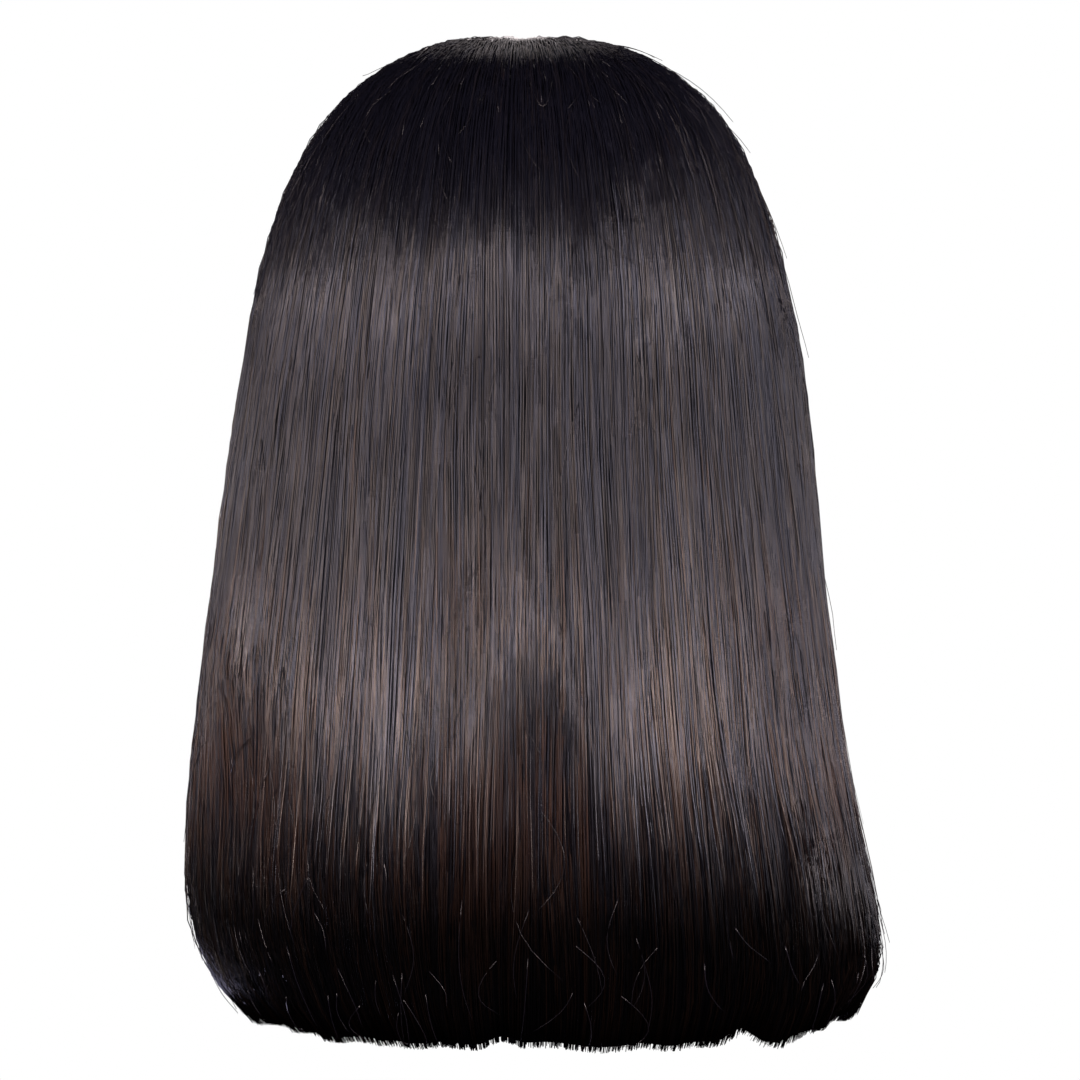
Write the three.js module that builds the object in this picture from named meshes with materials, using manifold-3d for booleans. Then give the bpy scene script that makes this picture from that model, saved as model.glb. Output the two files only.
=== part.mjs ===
// A straight lace front wig of bob length, blunt cut, with a middle parting and ends that turn under.
//
// It is built as the real one is: a net cap that the rear hair is sewn to, a lace panel across the
// forehead that carries the parting, an elastic band round the nape, an under layer of hair that
// hangs from the lowest rows of the cap, and the outer hair in five falls: back, two sides, two fronts.
//
// Millimetres, +Z up. The wearer looks along -Y, and the wearer's left is +X. The origin is the point
// on the inside of the cap that rests on the top of the head, so the wig hangs below it.
import * as THREE from "three";
import Module from "manifold-3d";
import { mergeVertices } from "three/addons/utils/BufferGeometryUtils.js";

const wasm = await Module();
wasm.setup();

// The head that the cap is made for: a rounded box, in plan and in profile, above a neck that draws in.
const headHalfWidth = 77;
const headFront = 94;
const headBack = 98;
const headDome = 98;
const headSquareness = 2.3;
const napeDrawIn = 15;
const sideDrawIn = 5;
const napeDepth = 75;

// The cap, its lace front and its elastic.
const capWall = 1.6;
const laceWall = 1.0;
const bandHeight = 12;
const bandHalfSweep = 68;
const seamAtCrown = 24;
const seamLean = 14;
const seatGap = 0.3;
const knotRise = 0.9;

// The hair: its whole reach, its layers, its locks and its parting.
const crownLift = 10;
const hairHeight = 358.5;
const hairHalfWidth = 126;
const hairBackDepth = 126;
const hairFrontDepth = 118;
const outerLayer = 9;
const sideLayer = 12;
const underLayer = 8;
const underGap = 1.2;
const edgeLayer = 4.5;
const rootLayer = 3.2;
const partingGap = 3;
const underHemLift = 7;

// The locks, how far the small ones differ, and how many fall at each side of the face.
const lockCount = 44;
const underLocks = 14;
const frontLocks = 7;
const sideLocks = 7;
const lockDepth = 1.5;
const lockDepthAtRoots = 0.4;
const lockDrift = 0.18;
const lockDriftStep = 5.1;
const tipSpread = 1.4;
const tipStep = 2.7;
const LOCK_COLUMNS = [0, 0.28, 0.72];

// How fine the surfaces are.
const ringColumns = 48;
const capRows = 8;
const boxReach = 400;
const degree = Math.PI / 180;

// One row for each level of the hair, from the parting down to the hem. drop is a share of hairHeight,
// left and right of hairHalfWidth, back of hairBackDepth, front of hairFrontDepth, and opening is how
// far the front edge stands back from the middle of the face, as a share of half a turn.
const LEVELS = [
  { drop: 0, left: 0, right: 0, back: 0.195, front: 0.746, opening: 0 },
  { drop: 0.006, left: 0.185, right: 0.185, back: 0.39, front: 0.754, opening: 0.055 },
  { drop: 0.028, left: 0.355, right: 0.365, back: 0.57, front: 0.77, opening: 0.1 },
  { drop: 0.065, left: 0.5, right: 0.515, back: 0.72, front: 0.795, opening: 0.14 },
  { drop: 0.12, left: 0.623, right: 0.63, back: 0.825, front: 0.83, opening: 0.172 },
  { drop: 0.19, left: 0.712, right: 0.713, back: 0.9, front: 0.858, opening: 0.205 },
  { drop: 0.268, left: 0.77, right: 0.772, back: 0.945, front: 0.876, opening: 0.224 },
  { drop: 0.345, left: 0.811, right: 0.812, back: 0.967, front: 0.882, opening: 0.226 },
  { drop: 0.48, left: 0.866, right: 0.848, back: 0.985, front: 0.888, opening: 0.206 },
  { drop: 0.68, left: 0.942, right: 0.914, back: 1, front: 0.925, opening: 0.165 },
  { drop: 0.79, left: 0.974, right: 0.966, back: 0.987, front: 0.955, opening: 0.148 },
  { drop: 0.875, left: 0.97, right: 1.004, back: 0.942, front: 0.962, opening: 0.14 },
  { drop: 0.935, left: 0.935, right: 1.03, back: 0.882, front: 0.938, opening: 0.136 },
  { drop: 0.975, left: 0.875, right: 1.012, back: 0.818, front: 0.9, opening: 0.134 },
  { drop: 1, left: 0.81, right: 0.98, back: 0.762, front: 0.858, opening: 0.134 },
];

// The first seatedRows levels lie on the cap, and from hemLevel the ends turn under.
const seatedRows = 7;
const hemLevel = LEVELS.length - 5;
const lastLevel = LEVELS.length - 1;

// Where the hem is parted by a notch: side is the place round the wig from -1, the right front edge,
// to 1, the left front edge, and rise is a share of hairHeight.
const HEM_NOTCHES = [
  { side: 0.14, rise: 0.009 },
  { side: 0.0, rise: 0.01 },
  { side: -0.24, rise: 0.014 },
  { side: 0.62, rise: 0.01 },
  { side: -0.58, rise: 0.012 },
];
const notchHalfWidth = 0.03;

// Places round the wig, as side is above: where the parting opens fully, where the thick rear layer
// begins, where the hair thins to its front edge and is pressed to the hairline, and where the under
// layer ends.
const partingEnd = 0.14;
const sideStart = 0.45;
const sideFull = 0.6;
const edgeStart = 0.8;
const hairlineStart = 0.72;
const underReach = 0.46;

// The cap's lower edge: turn is degrees from the middle of the nape, drop a share of headDome. It rises
// over the ear, falls in a tab before it, and crosses the forehead along the hairline.
const CAP_EDGE = [
  { turn: 0, drop: 1.6 },
  { turn: 40, drop: 1.55 },
  { turn: 62, drop: 1.4 },
  { turn: 76, drop: 1.18 },
  { turn: 88, drop: 1.09 },
  { turn: 100, drop: 1.2 },
  { turn: 111, drop: 1.37 },
  { turn: 122, drop: 1.24 },
  { turn: 136, drop: 1.04 },
  { turn: 150, drop: 0.79 },
  { turn: 165, drop: 0.655 },
  { turn: 180, drop: 0.61 },
];

const mix = (from, to, share) => from + (to - from) * share;

// 0 before start, 1 after end, and a smooth rise between them.
function ease(start, end, value) {
  const share = Math.min(1, Math.max(0, (value - start) / (end - start)));
  return share * share * (3 - 2 * share);
}

// How far below the crown of the head its middle line lies at this distance along Y.
function headFall(y) {
  const reach = Math.min(1, Math.abs(y) / (y < 0 ? headFront : headBack));
  return headDome * (1 - (1 - reach ** headSquareness) ** (1 / headSquareness));
}

// The foot of the ray that a point is measured along: the head's middle, or below it the neck's axis.
const rayFoot = (point) => new THREE.Vector3(0, 0, Math.min(point.z, -headDome));

// The distance from its ray's foot to the head's surface, in a direction.
function headDistance(foot, direction) {
  const depth = direction.y < 0 ? headFront : headBack;
  const flat =
    Math.abs(direction.x / headHalfWidth) ** headSquareness +
    Math.abs(direction.y / depth) ** headSquareness;
  const tall = Math.abs(direction.z / headDome) ** headSquareness;
  const below = Math.min(1, Math.max(0, -headDome - foot.z) / napeDepth);
  const drawIn = mix(sideDrawIn, napeDrawIn, Math.max(0, direction.y)) * below ** 2;
  return (flat + tall) ** (-1 / headSquareness) - drawIn;
}

// A point moved along its ray to a given distance outside the head.
function onHead(point, outside) {
  const foot = rayFoot(point);
  const direction = point.clone().sub(foot).normalize();
  return foot.clone().addScaledVector(direction, headDistance(foot, direction) + outside);
}

// A closed solid between two grids of points of the same size, outer and inner, whose columns run from
// the wearer's right round the back to the left. A grid that closes round on itself has no side walls.
function solidBetween(outer, inner, closesRound) {
  const rows = outer.length;
  const columns = outer[0].length;
  const points = [...outer.flat(), ...inner.flat()];
  const start = rows * columns;
  const faces = [];
  const quad = (a, b, c, d) => faces.push([a, b, c], [a, c, d]);
  const place = (row, column) => row * columns + (column % columns);
  const lastColumn = closesRound ? columns : columns - 1;
  for (let row = 0; row + 1 < rows; row += 1) {
    for (let column = 0; column < lastColumn; column += 1) {
      const [a, b] = [place(row, column), place(row, column + 1)];
      const [c, d] = [place(row + 1, column + 1), place(row + 1, column)];
      quad(a, b, c, d);
      quad(start + a, start + d, start + c, start + b);
    }
  }
  for (let column = 0; column < lastColumn; column += 1) {
    const [a, b] = [place(0, column), place(0, column + 1)];
    const [c, d] = [place(rows - 1, column + 1), place(rows - 1, column)];
    quad(a, start + a, start + b, b);
    quad(d, c, start + c, start + d);
  }
  for (let row = 0; !closesRound && row + 1 < rows; row += 1) {
    const [a, d] = [place(row, 0), place(row + 1, 0)];
    const [b, c] = [place(row, columns - 1), place(row + 1, columns - 1)];
    quad(a, d, start + d, start + a);
    quad(b, start + b, start + c, c);
  }
  const loose = new THREE.BufferGeometry().setFromPoints(points);
  loose.setIndex(faces.flat());
  return withoutSlivers(mergeVertices(loose, 1e-4));
}

// The same geometry without the faces that merging has closed to a line or a point, and without pairs
// that lie back to back.
function withoutSlivers(geometry) {
  const kept = new Map();
  const corners = geometry.index.array;
  for (let at = 0; at < corners.length; at += 3) {
    const face = [corners[at], corners[at + 1], corners[at + 2]];
    if (new Set(face).size < 3) continue;
    const key = [...face].sort((one, other) => one - other).join();
    if (kept.has(key)) kept.delete(key);
    else kept.set(key, face);
  }
  geometry.setIndex([...kept.values()].flat());
  return geometry;
}

function toSolid(geometry) {
  const vertProperties = new Float32Array(geometry.attributes.position.array);
  const triVerts = new Uint32Array(geometry.index.array);
  return new wasm.Manifold(new wasm.Mesh({ numProp: 3, vertProperties, triVerts }));
}

function toGeometry(solid) {
  const mesh = solid.getMesh();
  const geometry = new THREE.BufferGeometry();
  geometry.setAttribute("position", new THREE.BufferAttribute(mesh.vertProperties, 3));
  geometry.setIndex(new THREE.BufferAttribute(mesh.triVerts, 1));
  return geometry;
}

// The height of the cap's lower edge, turn degrees from the middle of the nape.
function capEdge(turn) {
  const away = Math.abs(turn);
  const next = Math.max(1, CAP_EDGE.findIndex((row) => row.turn >= away));
  const [from, to] = [CAP_EDGE[next - 1], CAP_EDGE[next]];
  return -headDome * mix(from.drop, to.drop, ease(from.turn, to.turn, away));
}

// A point of the cap: share runs from the crown, 0, over the dome and down to the edge, 1.
function capPoint(turn, share, outside) {
  const [sine, cosine] = [Math.sin(turn * degree), Math.cos(turn * degree)];
  const edge = capEdge(turn);
  const aboveWidest = Math.max(0, 1 + edge / headDome);
  const domeLength = headDome * Math.acos(aboveWidest ** (headSquareness / 2));
  const travelled = share * (domeLength + Math.max(0, -headDome - edge));
  const round = (value) => Math.max(0, value) ** (2 / headSquareness);
  const bend = Math.min(travelled, domeLength) / headDome;
  const level = new THREE.Vector3(sine, cosine, -headDome);
  const reach = headDistance(rayFoot(level), level.clone().setZ(0));
  const wide = reach * (travelled > domeLength ? 1 : round(Math.sin(bend)));
  const height = travelled > domeLength ? domeLength - travelled : headDome * round(Math.cos(bend));
  return onHead(new THREE.Vector3(wide * sine, wide * cosine, height - headDome), outside);
}

// The whole cap as one shell, before the lace is parted from the net.
function capShell(wall) {
  const grid = (outside) =>
    Array.from({ length: capRows + 1 }, (_, row) =>
      Array.from({ length: ringColumns }, (_, column) =>
        capPoint((column * 360) / ringColumns - 180, row / capRows, outside),
      ),
    );
  return toSolid(solidBetween(grid(capWall), grid(capWall - wall), true));
}

// Everything in front of the seam that joins the lace to the net, moved by a distance along Y.
function beforeSeam(shift) {
  const box = new THREE.BoxGeometry(boxReach * 2, boxReach, boxReach * 3);
  box.translate(0, -boxReach / 2, 0);
  box.rotateX(-seamLean * degree);
  box.translate(0, seamAtCrown + shift, 0);
  box.deleteAttribute("normal");
  box.deleteAttribute("uv");
  return toSolid(mergeVertices(box, 1e-4));
}

const netCap = () => toGeometry(capShell(capWall).subtract(beforeSeam(seatGap)));
const laceFront = () => toGeometry(capShell(laceWall).intersect(beforeSeam(0)));

// The elastic band continues the cap's wall below its edge, round the nape from ear to ear.
function napeBand() {
  const steps = Math.round((bandHalfSweep * ringColumns) / 360);
  const grid = (outside) =>
    [0, bandHeight].map((below) =>
      Array.from({ length: 2 * steps + 1 }, (_, column) => {
        const turn = ((column - steps) * 360) / ringColumns;
        const height = capEdge(turn) - seatGap - below;
        const sine = Math.sin(turn * degree);
        return onHead(new THREE.Vector3(sine, Math.cos(turn * degree), height), outside);
      }),
    );
  return solidBetween(grid(capWall), grid(0), false);
}

// The angle round the wig of a strand, from the middle of the back, in radians.
function strandAngle(side, level) {
  return Math.PI * side * (1 - level.opening * Math.abs(side));
}

// How much a notch in the hem lifts it at this side.
function notchRise(side) {
  const rises = HEM_NOTCHES.map(
    (notch) => notch.rise * (1 - ease(0, notchHalfWidth, Math.abs(side - notch.side))),
  );
  return hairHeight * Math.max(...rises);
}

// A point of the hair's outline, before the locks and before the hair is pressed to its roots.
function outlinePoint(side, row) {
  const level = LEVELS[row];
  const angle = strandAngle(side, level);
  const rootAngle = Math.PI * side;
  const root = Math.cos(rootAngle) * (Math.cos(rootAngle) > 0
    ? LEVELS[0].back * hairBackDepth
    : LEVELS[0].front * hairFrontDepth);
  const wide = (side > 0 ? level.left : level.right) * hairHalfWidth;
  const deep = Math.cos(angle) > 0 ? level.back * hairBackDepth : level.front * hairFrontDepth;
  const parting = Math.sign(side) * (partingGap / 2) * ease(0, partingEnd, Math.abs(side));
  const fade = (1 - Math.min(1, level.drop / LEVELS[seatedRows].drop)) ** 2;
  const notch = notchRise(side) * ease(hemLevel, lastLevel, row);
  const height = crownLift - level.drop * hairHeight - headFall(root) * fade + notch;
  return new THREE.Vector3(parting + wide * Math.sin(angle), deep * Math.cos(angle), height);
}

// How closely the hair is pressed to the cap: fully at the parting and along the front hairline.
function pressed(side, row) {
  const parting = 1 - ease(0, 2, row);
  const above = 1 - ease(seatedRows - 2, seatedRows + 1, row);
  return Math.max(parting, ease(hairlineStart, 1, Math.abs(side)) * above);
}

// The thickness of the outer layer at a strand: thin at the front edges, where it frames the face.
function layerThickness(side) {
  const full = mix(outerLayer, sideLayer, ease(sideStart, sideFull, Math.abs(side)));
  return mix(full, edgeLayer, ease(edgeStart, 1, Math.abs(side)));
}

// The ray of a strand at a level, with the distances along it of the hair's outside and inside.
function strandRay(side, row) {
  const point = outlinePoint(side, row);
  const foot = rayFoot(point);
  const direction = point.clone().sub(foot);
  const reach = direction.length();
  direction.normalize();
  const seat = headDistance(foot, direction) + capWall + seatGap + knotRise;
  const full = Math.max(reach - lockDepth, seat + rootLayer);
  const outside = mix(full, seat + rootLayer, pressed(side, row));
  const hanging = outside - layerThickness(side);
  const lifted = mix(seat, hanging, ease(seatedRows - 1, seatedRows, row));
  return { foot, direction, seat, outside, inside: Math.max(seat, lifted) };
}

const along = (ray, distance) => ray.foot.clone().addScaledVector(ray.direction, distance);

// The relief of the locks: share runs across one lock, from 0 to 1.
function lockRelief(share, row) {
  const crest = share > 0 && share < 1 ? 1 : 0;
  return crest * mix(lockDepthAtRoots, lockDepth, LEVELS[row].drop) * ease(0, 3, row);
}

// The columns of a fall of hair, from lock first to lock last of count in all. Inside the fall the
// furrows between the locks drift a little to either side.
function lockColumns(first, last, count, from, to) {
  const edge = (at) => at + (at > first && at < last ? lockDrift * Math.sin(at * lockDriftStep) : 0);
  const columns = [];
  for (let lock = first; lock < last; lock += 1) {
    for (const share of LOCK_COLUMNS) {
      columns.push({ lock, share, side: mix(from, to, mix(edge(lock), edge(lock + 1), share) / count) });
    }
  }
  columns.push({ lock: last - 1, share: 1, side: mix(from, to, last / count) });
  return columns;
}

// The side of a column, with the two outer columns moved in so that the fall keeps clear of the next.
function clearSide(columns, at, row) {
  const last = columns.length - 1;
  const { side } = columns[at];
  if (at > 0 && at < last) return side;
  const inward = (at === 0 ? 1 : -1) / lockCount;
  const width = outlinePoint(side, row).distanceTo(outlinePoint(side + inward, row));
  return side + (inward * seatGap) / 2 / width;
}

// A fall of hair in locks fused to its backing, through the given levels.
function fallOfHair(columns, rows, outer, inner) {
  const grid = (pick) =>
    rows.map((row) => columns.map((column, at) => pick(column, clearSide(columns, at, row), row)));
  return solidBetween(grid(outer), grid(inner), false);
}

// The outer hair between two lock edges, counted from the right front edge round the back.
function outerFall(first, last) {
  const strand = (column, side, row, distance) => {
    const ray = strandRay(side, row);
    const point = along(ray, distance(ray));
    point.z += tipSpread * Math.sin(column.lock * tipStep) * ease(hemLevel, lastLevel, row);
    return point;
  };
  return fallOfHair(
    lockColumns(first, last, lockCount, -1, 1),
    LEVELS.map((_, row) => row),
    (column, side, row) =>
      strand(column, side, row, (ray) => ray.outside + lockRelief(column.share, row)),
    (column, side, row) => strand(column, side, row, (ray) => ray.inside),
  );
}

// The under layer hangs from the cap's lowest rows, inside the outer hair, from ear to ear.
function underFall() {
  const strand = (side, row, distance) => {
    const ray = strandRay(side, row);
    const point = along(ray, distance(ray));
    point.z += underHemLift * ease(hemLevel, lastLevel, row);
    return point;
  };
  return fallOfHair(
    lockColumns(0, underLocks, underLocks, -underReach, underReach),
    LEVELS.map((_, row) => row).slice(seatedRows),
    (column, side, row) => strand(side, row, (ray) => ray.inside - underGap),
    (column, side, row) =>
      strand(side, row, (ray) => Math.max(ray.seat, ray.inside - underGap - underLayer)),
  );
}

const hairFinish = { color: 0x1b1515, roughness: 0.42, metalness: 0 };
const netFinish = { color: 0x14100f, roughness: 0.9, metalness: 0 };
const laceFinish = { color: 0xb98f70, roughness: 0.85, metalness: 0 };
const bandFinish = { color: 0x1d1816, roughness: 0.8, metalness: 0 };

function piece(name, geometry, finish) {
  const mesh = new THREE.Mesh(geometry, new THREE.MeshStandardMaterial(finish));
  mesh.name = name;
  return mesh;
}

// The lock edges at which one fall of outer hair ends and the next begins.
const rightSeam = frontLocks;
const rightBackSeam = frontLocks + sideLocks;
const leftBackSeam = lockCount - rightBackSeam;
const leftSeam = lockCount - rightSeam;

const wig = new THREE.Group();
wig.add(
  piece("net_cap", netCap(), netFinish),
  piece("lace_front", laceFront(), laceFinish),
  piece("nape_band", napeBand(), bandFinish),
  piece("under_hair", underFall(), hairFinish),
  piece("hair_front_right", outerFall(0, rightSeam), hairFinish),
  piece("hair_side_right", outerFall(rightSeam, rightBackSeam), hairFinish),
  piece("hair_back", outerFall(rightBackSeam, leftBackSeam), hairFinish),
  piece("hair_side_left", outerFall(leftBackSeam, leftSeam), hairFinish),
  piece("hair_front_left", outerFall(leftSeam, lockCount), hairFinish),
);

export default wig;
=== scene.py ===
"""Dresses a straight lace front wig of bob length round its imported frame.

The wig is a net cap with a lace front and an elastic nape band, an under layer of hair, and five
outer falls of hair: back, two sides and two fronts. The hair is joined meshes of closed strands over
a closed backing. Everything is in metres, +Z up; the wearer looks along -Y, with the left at +X.
"""

import logging
import math
from dataclasses import astuple, dataclass
from enum import Enum

import bpy
import numpy as np
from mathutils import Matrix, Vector


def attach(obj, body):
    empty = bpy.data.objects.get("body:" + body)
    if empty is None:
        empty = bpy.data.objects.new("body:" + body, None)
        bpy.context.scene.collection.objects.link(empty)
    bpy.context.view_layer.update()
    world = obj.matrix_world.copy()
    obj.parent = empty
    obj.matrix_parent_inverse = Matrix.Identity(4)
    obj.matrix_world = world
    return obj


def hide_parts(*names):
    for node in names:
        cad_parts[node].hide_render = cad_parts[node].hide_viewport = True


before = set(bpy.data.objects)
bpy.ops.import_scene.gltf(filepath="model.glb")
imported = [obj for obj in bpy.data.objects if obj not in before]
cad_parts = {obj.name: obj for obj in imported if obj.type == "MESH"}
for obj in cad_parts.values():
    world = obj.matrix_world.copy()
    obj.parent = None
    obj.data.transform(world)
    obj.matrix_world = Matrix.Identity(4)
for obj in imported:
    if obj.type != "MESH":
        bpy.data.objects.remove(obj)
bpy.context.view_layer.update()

MM = 0.001
log = logging.getLogger("wig")


@dataclass(frozen=True)
class Level:
    """One level of the hair: drop is a share of its height, left and right of its half width, back and
    front of its depths, and opening of half a turn, from the middle of the face to the front edge."""

    drop: float
    left: float
    right: float
    back: float
    front: float
    opening: float


LEVELS = (
    Level(0, 0, 0, 0.195, 0.746, 0),
    Level(0.006, 0.185, 0.185, 0.39, 0.754, 0.055),
    Level(0.028, 0.355, 0.365, 0.57, 0.77, 0.1),
    Level(0.065, 0.5, 0.515, 0.72, 0.795, 0.14),
    Level(0.12, 0.623, 0.63, 0.825, 0.83, 0.172),
    Level(0.19, 0.712, 0.713, 0.9, 0.858, 0.205),
    Level(0.268, 0.77, 0.772, 0.945, 0.876, 0.224),
    Level(0.345, 0.811, 0.812, 0.967, 0.882, 0.226),
    Level(0.48, 0.866, 0.848, 0.985, 0.888, 0.206),
    Level(0.68, 0.942, 0.914, 1, 0.925, 0.165),
    Level(0.79, 0.974, 0.966, 0.987, 0.955, 0.148),
    Level(0.875, 0.97, 1.004, 0.942, 0.962, 0.14),
    Level(0.935, 0.935, 1.03, 0.882, 0.938, 0.136),
    Level(0.975, 0.875, 1.012, 0.818, 0.9, 0.134),
    Level(1, 0.81, 0.98, 0.762, 0.858, 0.134),
)
SEATED_ROW = 7
LAST_ROW = len(LEVELS) - 1
HEM_ROW = LAST_ROW - 4


@dataclass(frozen=True)
class Notch:
    """A notch that parts the hem, or a tuft below it where the rise is negative: side is its place
    round the wig, rise a share of the hair's height."""

    side: float
    rise: float


HEM_NOTCHES = (
    Notch(0.14, 0.003),
    Notch(0.024, 0.009),
    Notch(-0.135, -0.005),
    Notch(-0.222, 0.008),
    Notch(-0.272, -0.008),
    Notch(0.62, 0.01),
    Notch(-0.58, 0.012),
)
NOTCH_HALF_WIDTH = 0.03


@dataclass(frozen=True)
class Swell:
    """A broad swell of the hair: side and half width round the wig, start and end shares of the drop
    over which it grows, and its rise in millimetres, which is negative where the hair turns in."""

    side: float
    half_width: float
    start: float
    end: float
    rise: float


SWELLS = (
    Swell(0.115, 0.025, 0.19, 0.28, 1.5),
    Swell(-0.06, 0.03, 0.18, 0.29, 2.3),
    Swell(0.0, 0.036, 0.68, 0.735, -2.8),
    Swell(-0.035, 0.022, 0.69, 0.76, -1.6),
    Swell(0.36, 0.09, 0.63, 0.79, -8.5),
    Swell(-0.13, 0.05, 0.7, 0.86, 1.6),
    Swell(0.12, 0.04, 0.72, 0.86, 0.9),
    Swell(-0.31, 0.06, 0.7, 0.9, 1.4),
    Swell(-0.43, 0.07, 0.95, 1.0, -9.0),
    Swell(0.45, 0.07, 0.84, 0.96, 1.6),
    Swell(-0.46, 0.08, 0.8, 0.94, 1.4),
)


@dataclass(frozen=True)
class EdgeStop:
    """A stop on the cap's lower edge: turn in degrees from the nape, drop a share of the head's dome."""

    turn: float
    drop: float


CAP_EDGE = (
    EdgeStop(0, 1.6),
    EdgeStop(40, 1.55),
    EdgeStop(62, 1.4),
    EdgeStop(76, 1.18),
    EdgeStop(88, 1.09),
    EdgeStop(100, 1.2),
    EdgeStop(111, 1.37),
    EdgeStop(122, 1.24),
    EdgeStop(136, 1.04),
    EdgeStop(150, 0.79),
    EdgeStop(165, 0.655),
    EdgeStop(180, 0.61),
)


def ease(start: float, end: float, value: np.ndarray) -> np.ndarray:
    """Rises smoothly from 0 at start to 1 at end: three times the share squared less twice its cube.

    Args:
        start: where the rise begins.
        end: where it ends.
        value: the places to read it at.

    Returns:
        The height of the rise at each place.
    """
    share = np.clip((value - start) / (end - start), 0, 1)
    return share * share * (3 - 2 * share)


def mix(first: np.ndarray, second: np.ndarray, share: np.ndarray) -> np.ndarray:
    """Goes in a straight line from first to second by a share."""
    return first + (second - first) * share


def smooth_noise(seed: int, across: np.ndarray, down: np.ndarray) -> np.ndarray:
    """Gives a soft random height: random values at whole numbers, eased between them on both axes.

    Args:
        seed: which field of random values.
        across: the first coordinate, in lattice steps.
        down: the second coordinate, in lattice steps.

    Returns:
        Heights between -1 and 1.
    """
    size = 256
    lattice = np.random.default_rng(seed).uniform(-1, 1, (size, size))
    across, down = np.broadcast_arrays(across, down)
    column, row = np.floor(across).astype(int), np.floor(down).astype(int)
    right, below = ease(0, 1, across - column), ease(0, 1, down - row)
    near = mix(lattice[column % size, row % size], lattice[(column + 1) % size, row % size], right)
    far = mix(
        lattice[column % size, (row + 1) % size], lattice[(column + 1) % size, (row + 1) % size], right
    )
    return mix(near, far, below)


def srgb(hexadecimal: str) -> tuple[float, float, float, float]:
    """Turns an sRGB hex colour into linear light.

    Args:
        hexadecimal: six digits, such as "1b1515".

    Returns:
        Linear red, green and blue, and an alpha of 1.
    """
    parts = [int(hexadecimal[at : at + 2], 16) / 255 for at in (0, 2, 4)]
    linear = [p / 12.92 if p <= 0.04045 else ((p + 0.055) / 1.055) ** 2.4 for p in parts]
    return (*linear, 1.0)


def unit(vectors: np.ndarray) -> np.ndarray:
    """Scales vectors to length 1."""
    return vectors / np.maximum(np.linalg.norm(vectors, axis=-1, keepdims=True), 1e-12)


@dataclass(frozen=True)
class HeadForm:
    """The head that the cap is made for: a rounded box, in plan and in profile, above the neck."""

    half_width: float = 77 * MM
    front: float = 94 * MM
    back: float = 98 * MM
    dome: float = 98 * MM
    squareness: float = 2.3
    nape_draw_in: float = 15 * MM
    side_draw_in: float = 5 * MM
    nape_depth: float = 75 * MM

    def distance(self, foot_z: np.ndarray, direction: np.ndarray) -> np.ndarray:
        """Measures from a foot on the head's axis to its surface.

        The surface is where the three direction shares, each raised to squareness, add up to 1; below
        the widest line it draws in by the square of the depth.

        Args:
            foot_z: the height of each ray's foot.
            direction: unit vectors, one for each foot.

        Returns:
            The distance along each ray.
        """
        x, y, z = np.moveaxis(direction, -1, 0)
        depth = np.where(y < 0, self.front, self.back)
        total = sum(
            np.abs(part / reach) ** self.squareness
            for part, reach in ((x, self.half_width), (y, depth), (z, self.dome))
        )
        below = np.clip((-self.dome - foot_z) / self.nape_depth, 0, 1)
        draw_in = mix(self.side_draw_in, self.nape_draw_in, np.maximum(0, y)) * below**2
        return total ** (-1 / self.squareness) - draw_in

    def fall(self, y: np.ndarray) -> np.ndarray:
        """Gives how far the head's middle line lies below its crown at a distance along Y."""
        reach = np.minimum(1, np.abs(y) / np.where(y < 0, self.front, self.back))
        return self.dome * (1 - (1 - reach**self.squareness) ** (1 / self.squareness))

    def outside(self, points: np.ndarray, lift: np.ndarray) -> np.ndarray:
        """Moves points along their rays to a distance outside the head.

        Args:
            points: positions near the head.
            lift: the distance outside its surface.

        Returns:
            The moved positions.
        """
        foot = np.zeros_like(points)
        foot[..., 2] = np.minimum(points[..., 2], -self.dome)
        direction = unit(points - foot)
        reach = self.distance(foot[..., 2], direction) + lift
        return foot + direction * reach[..., None]


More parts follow.
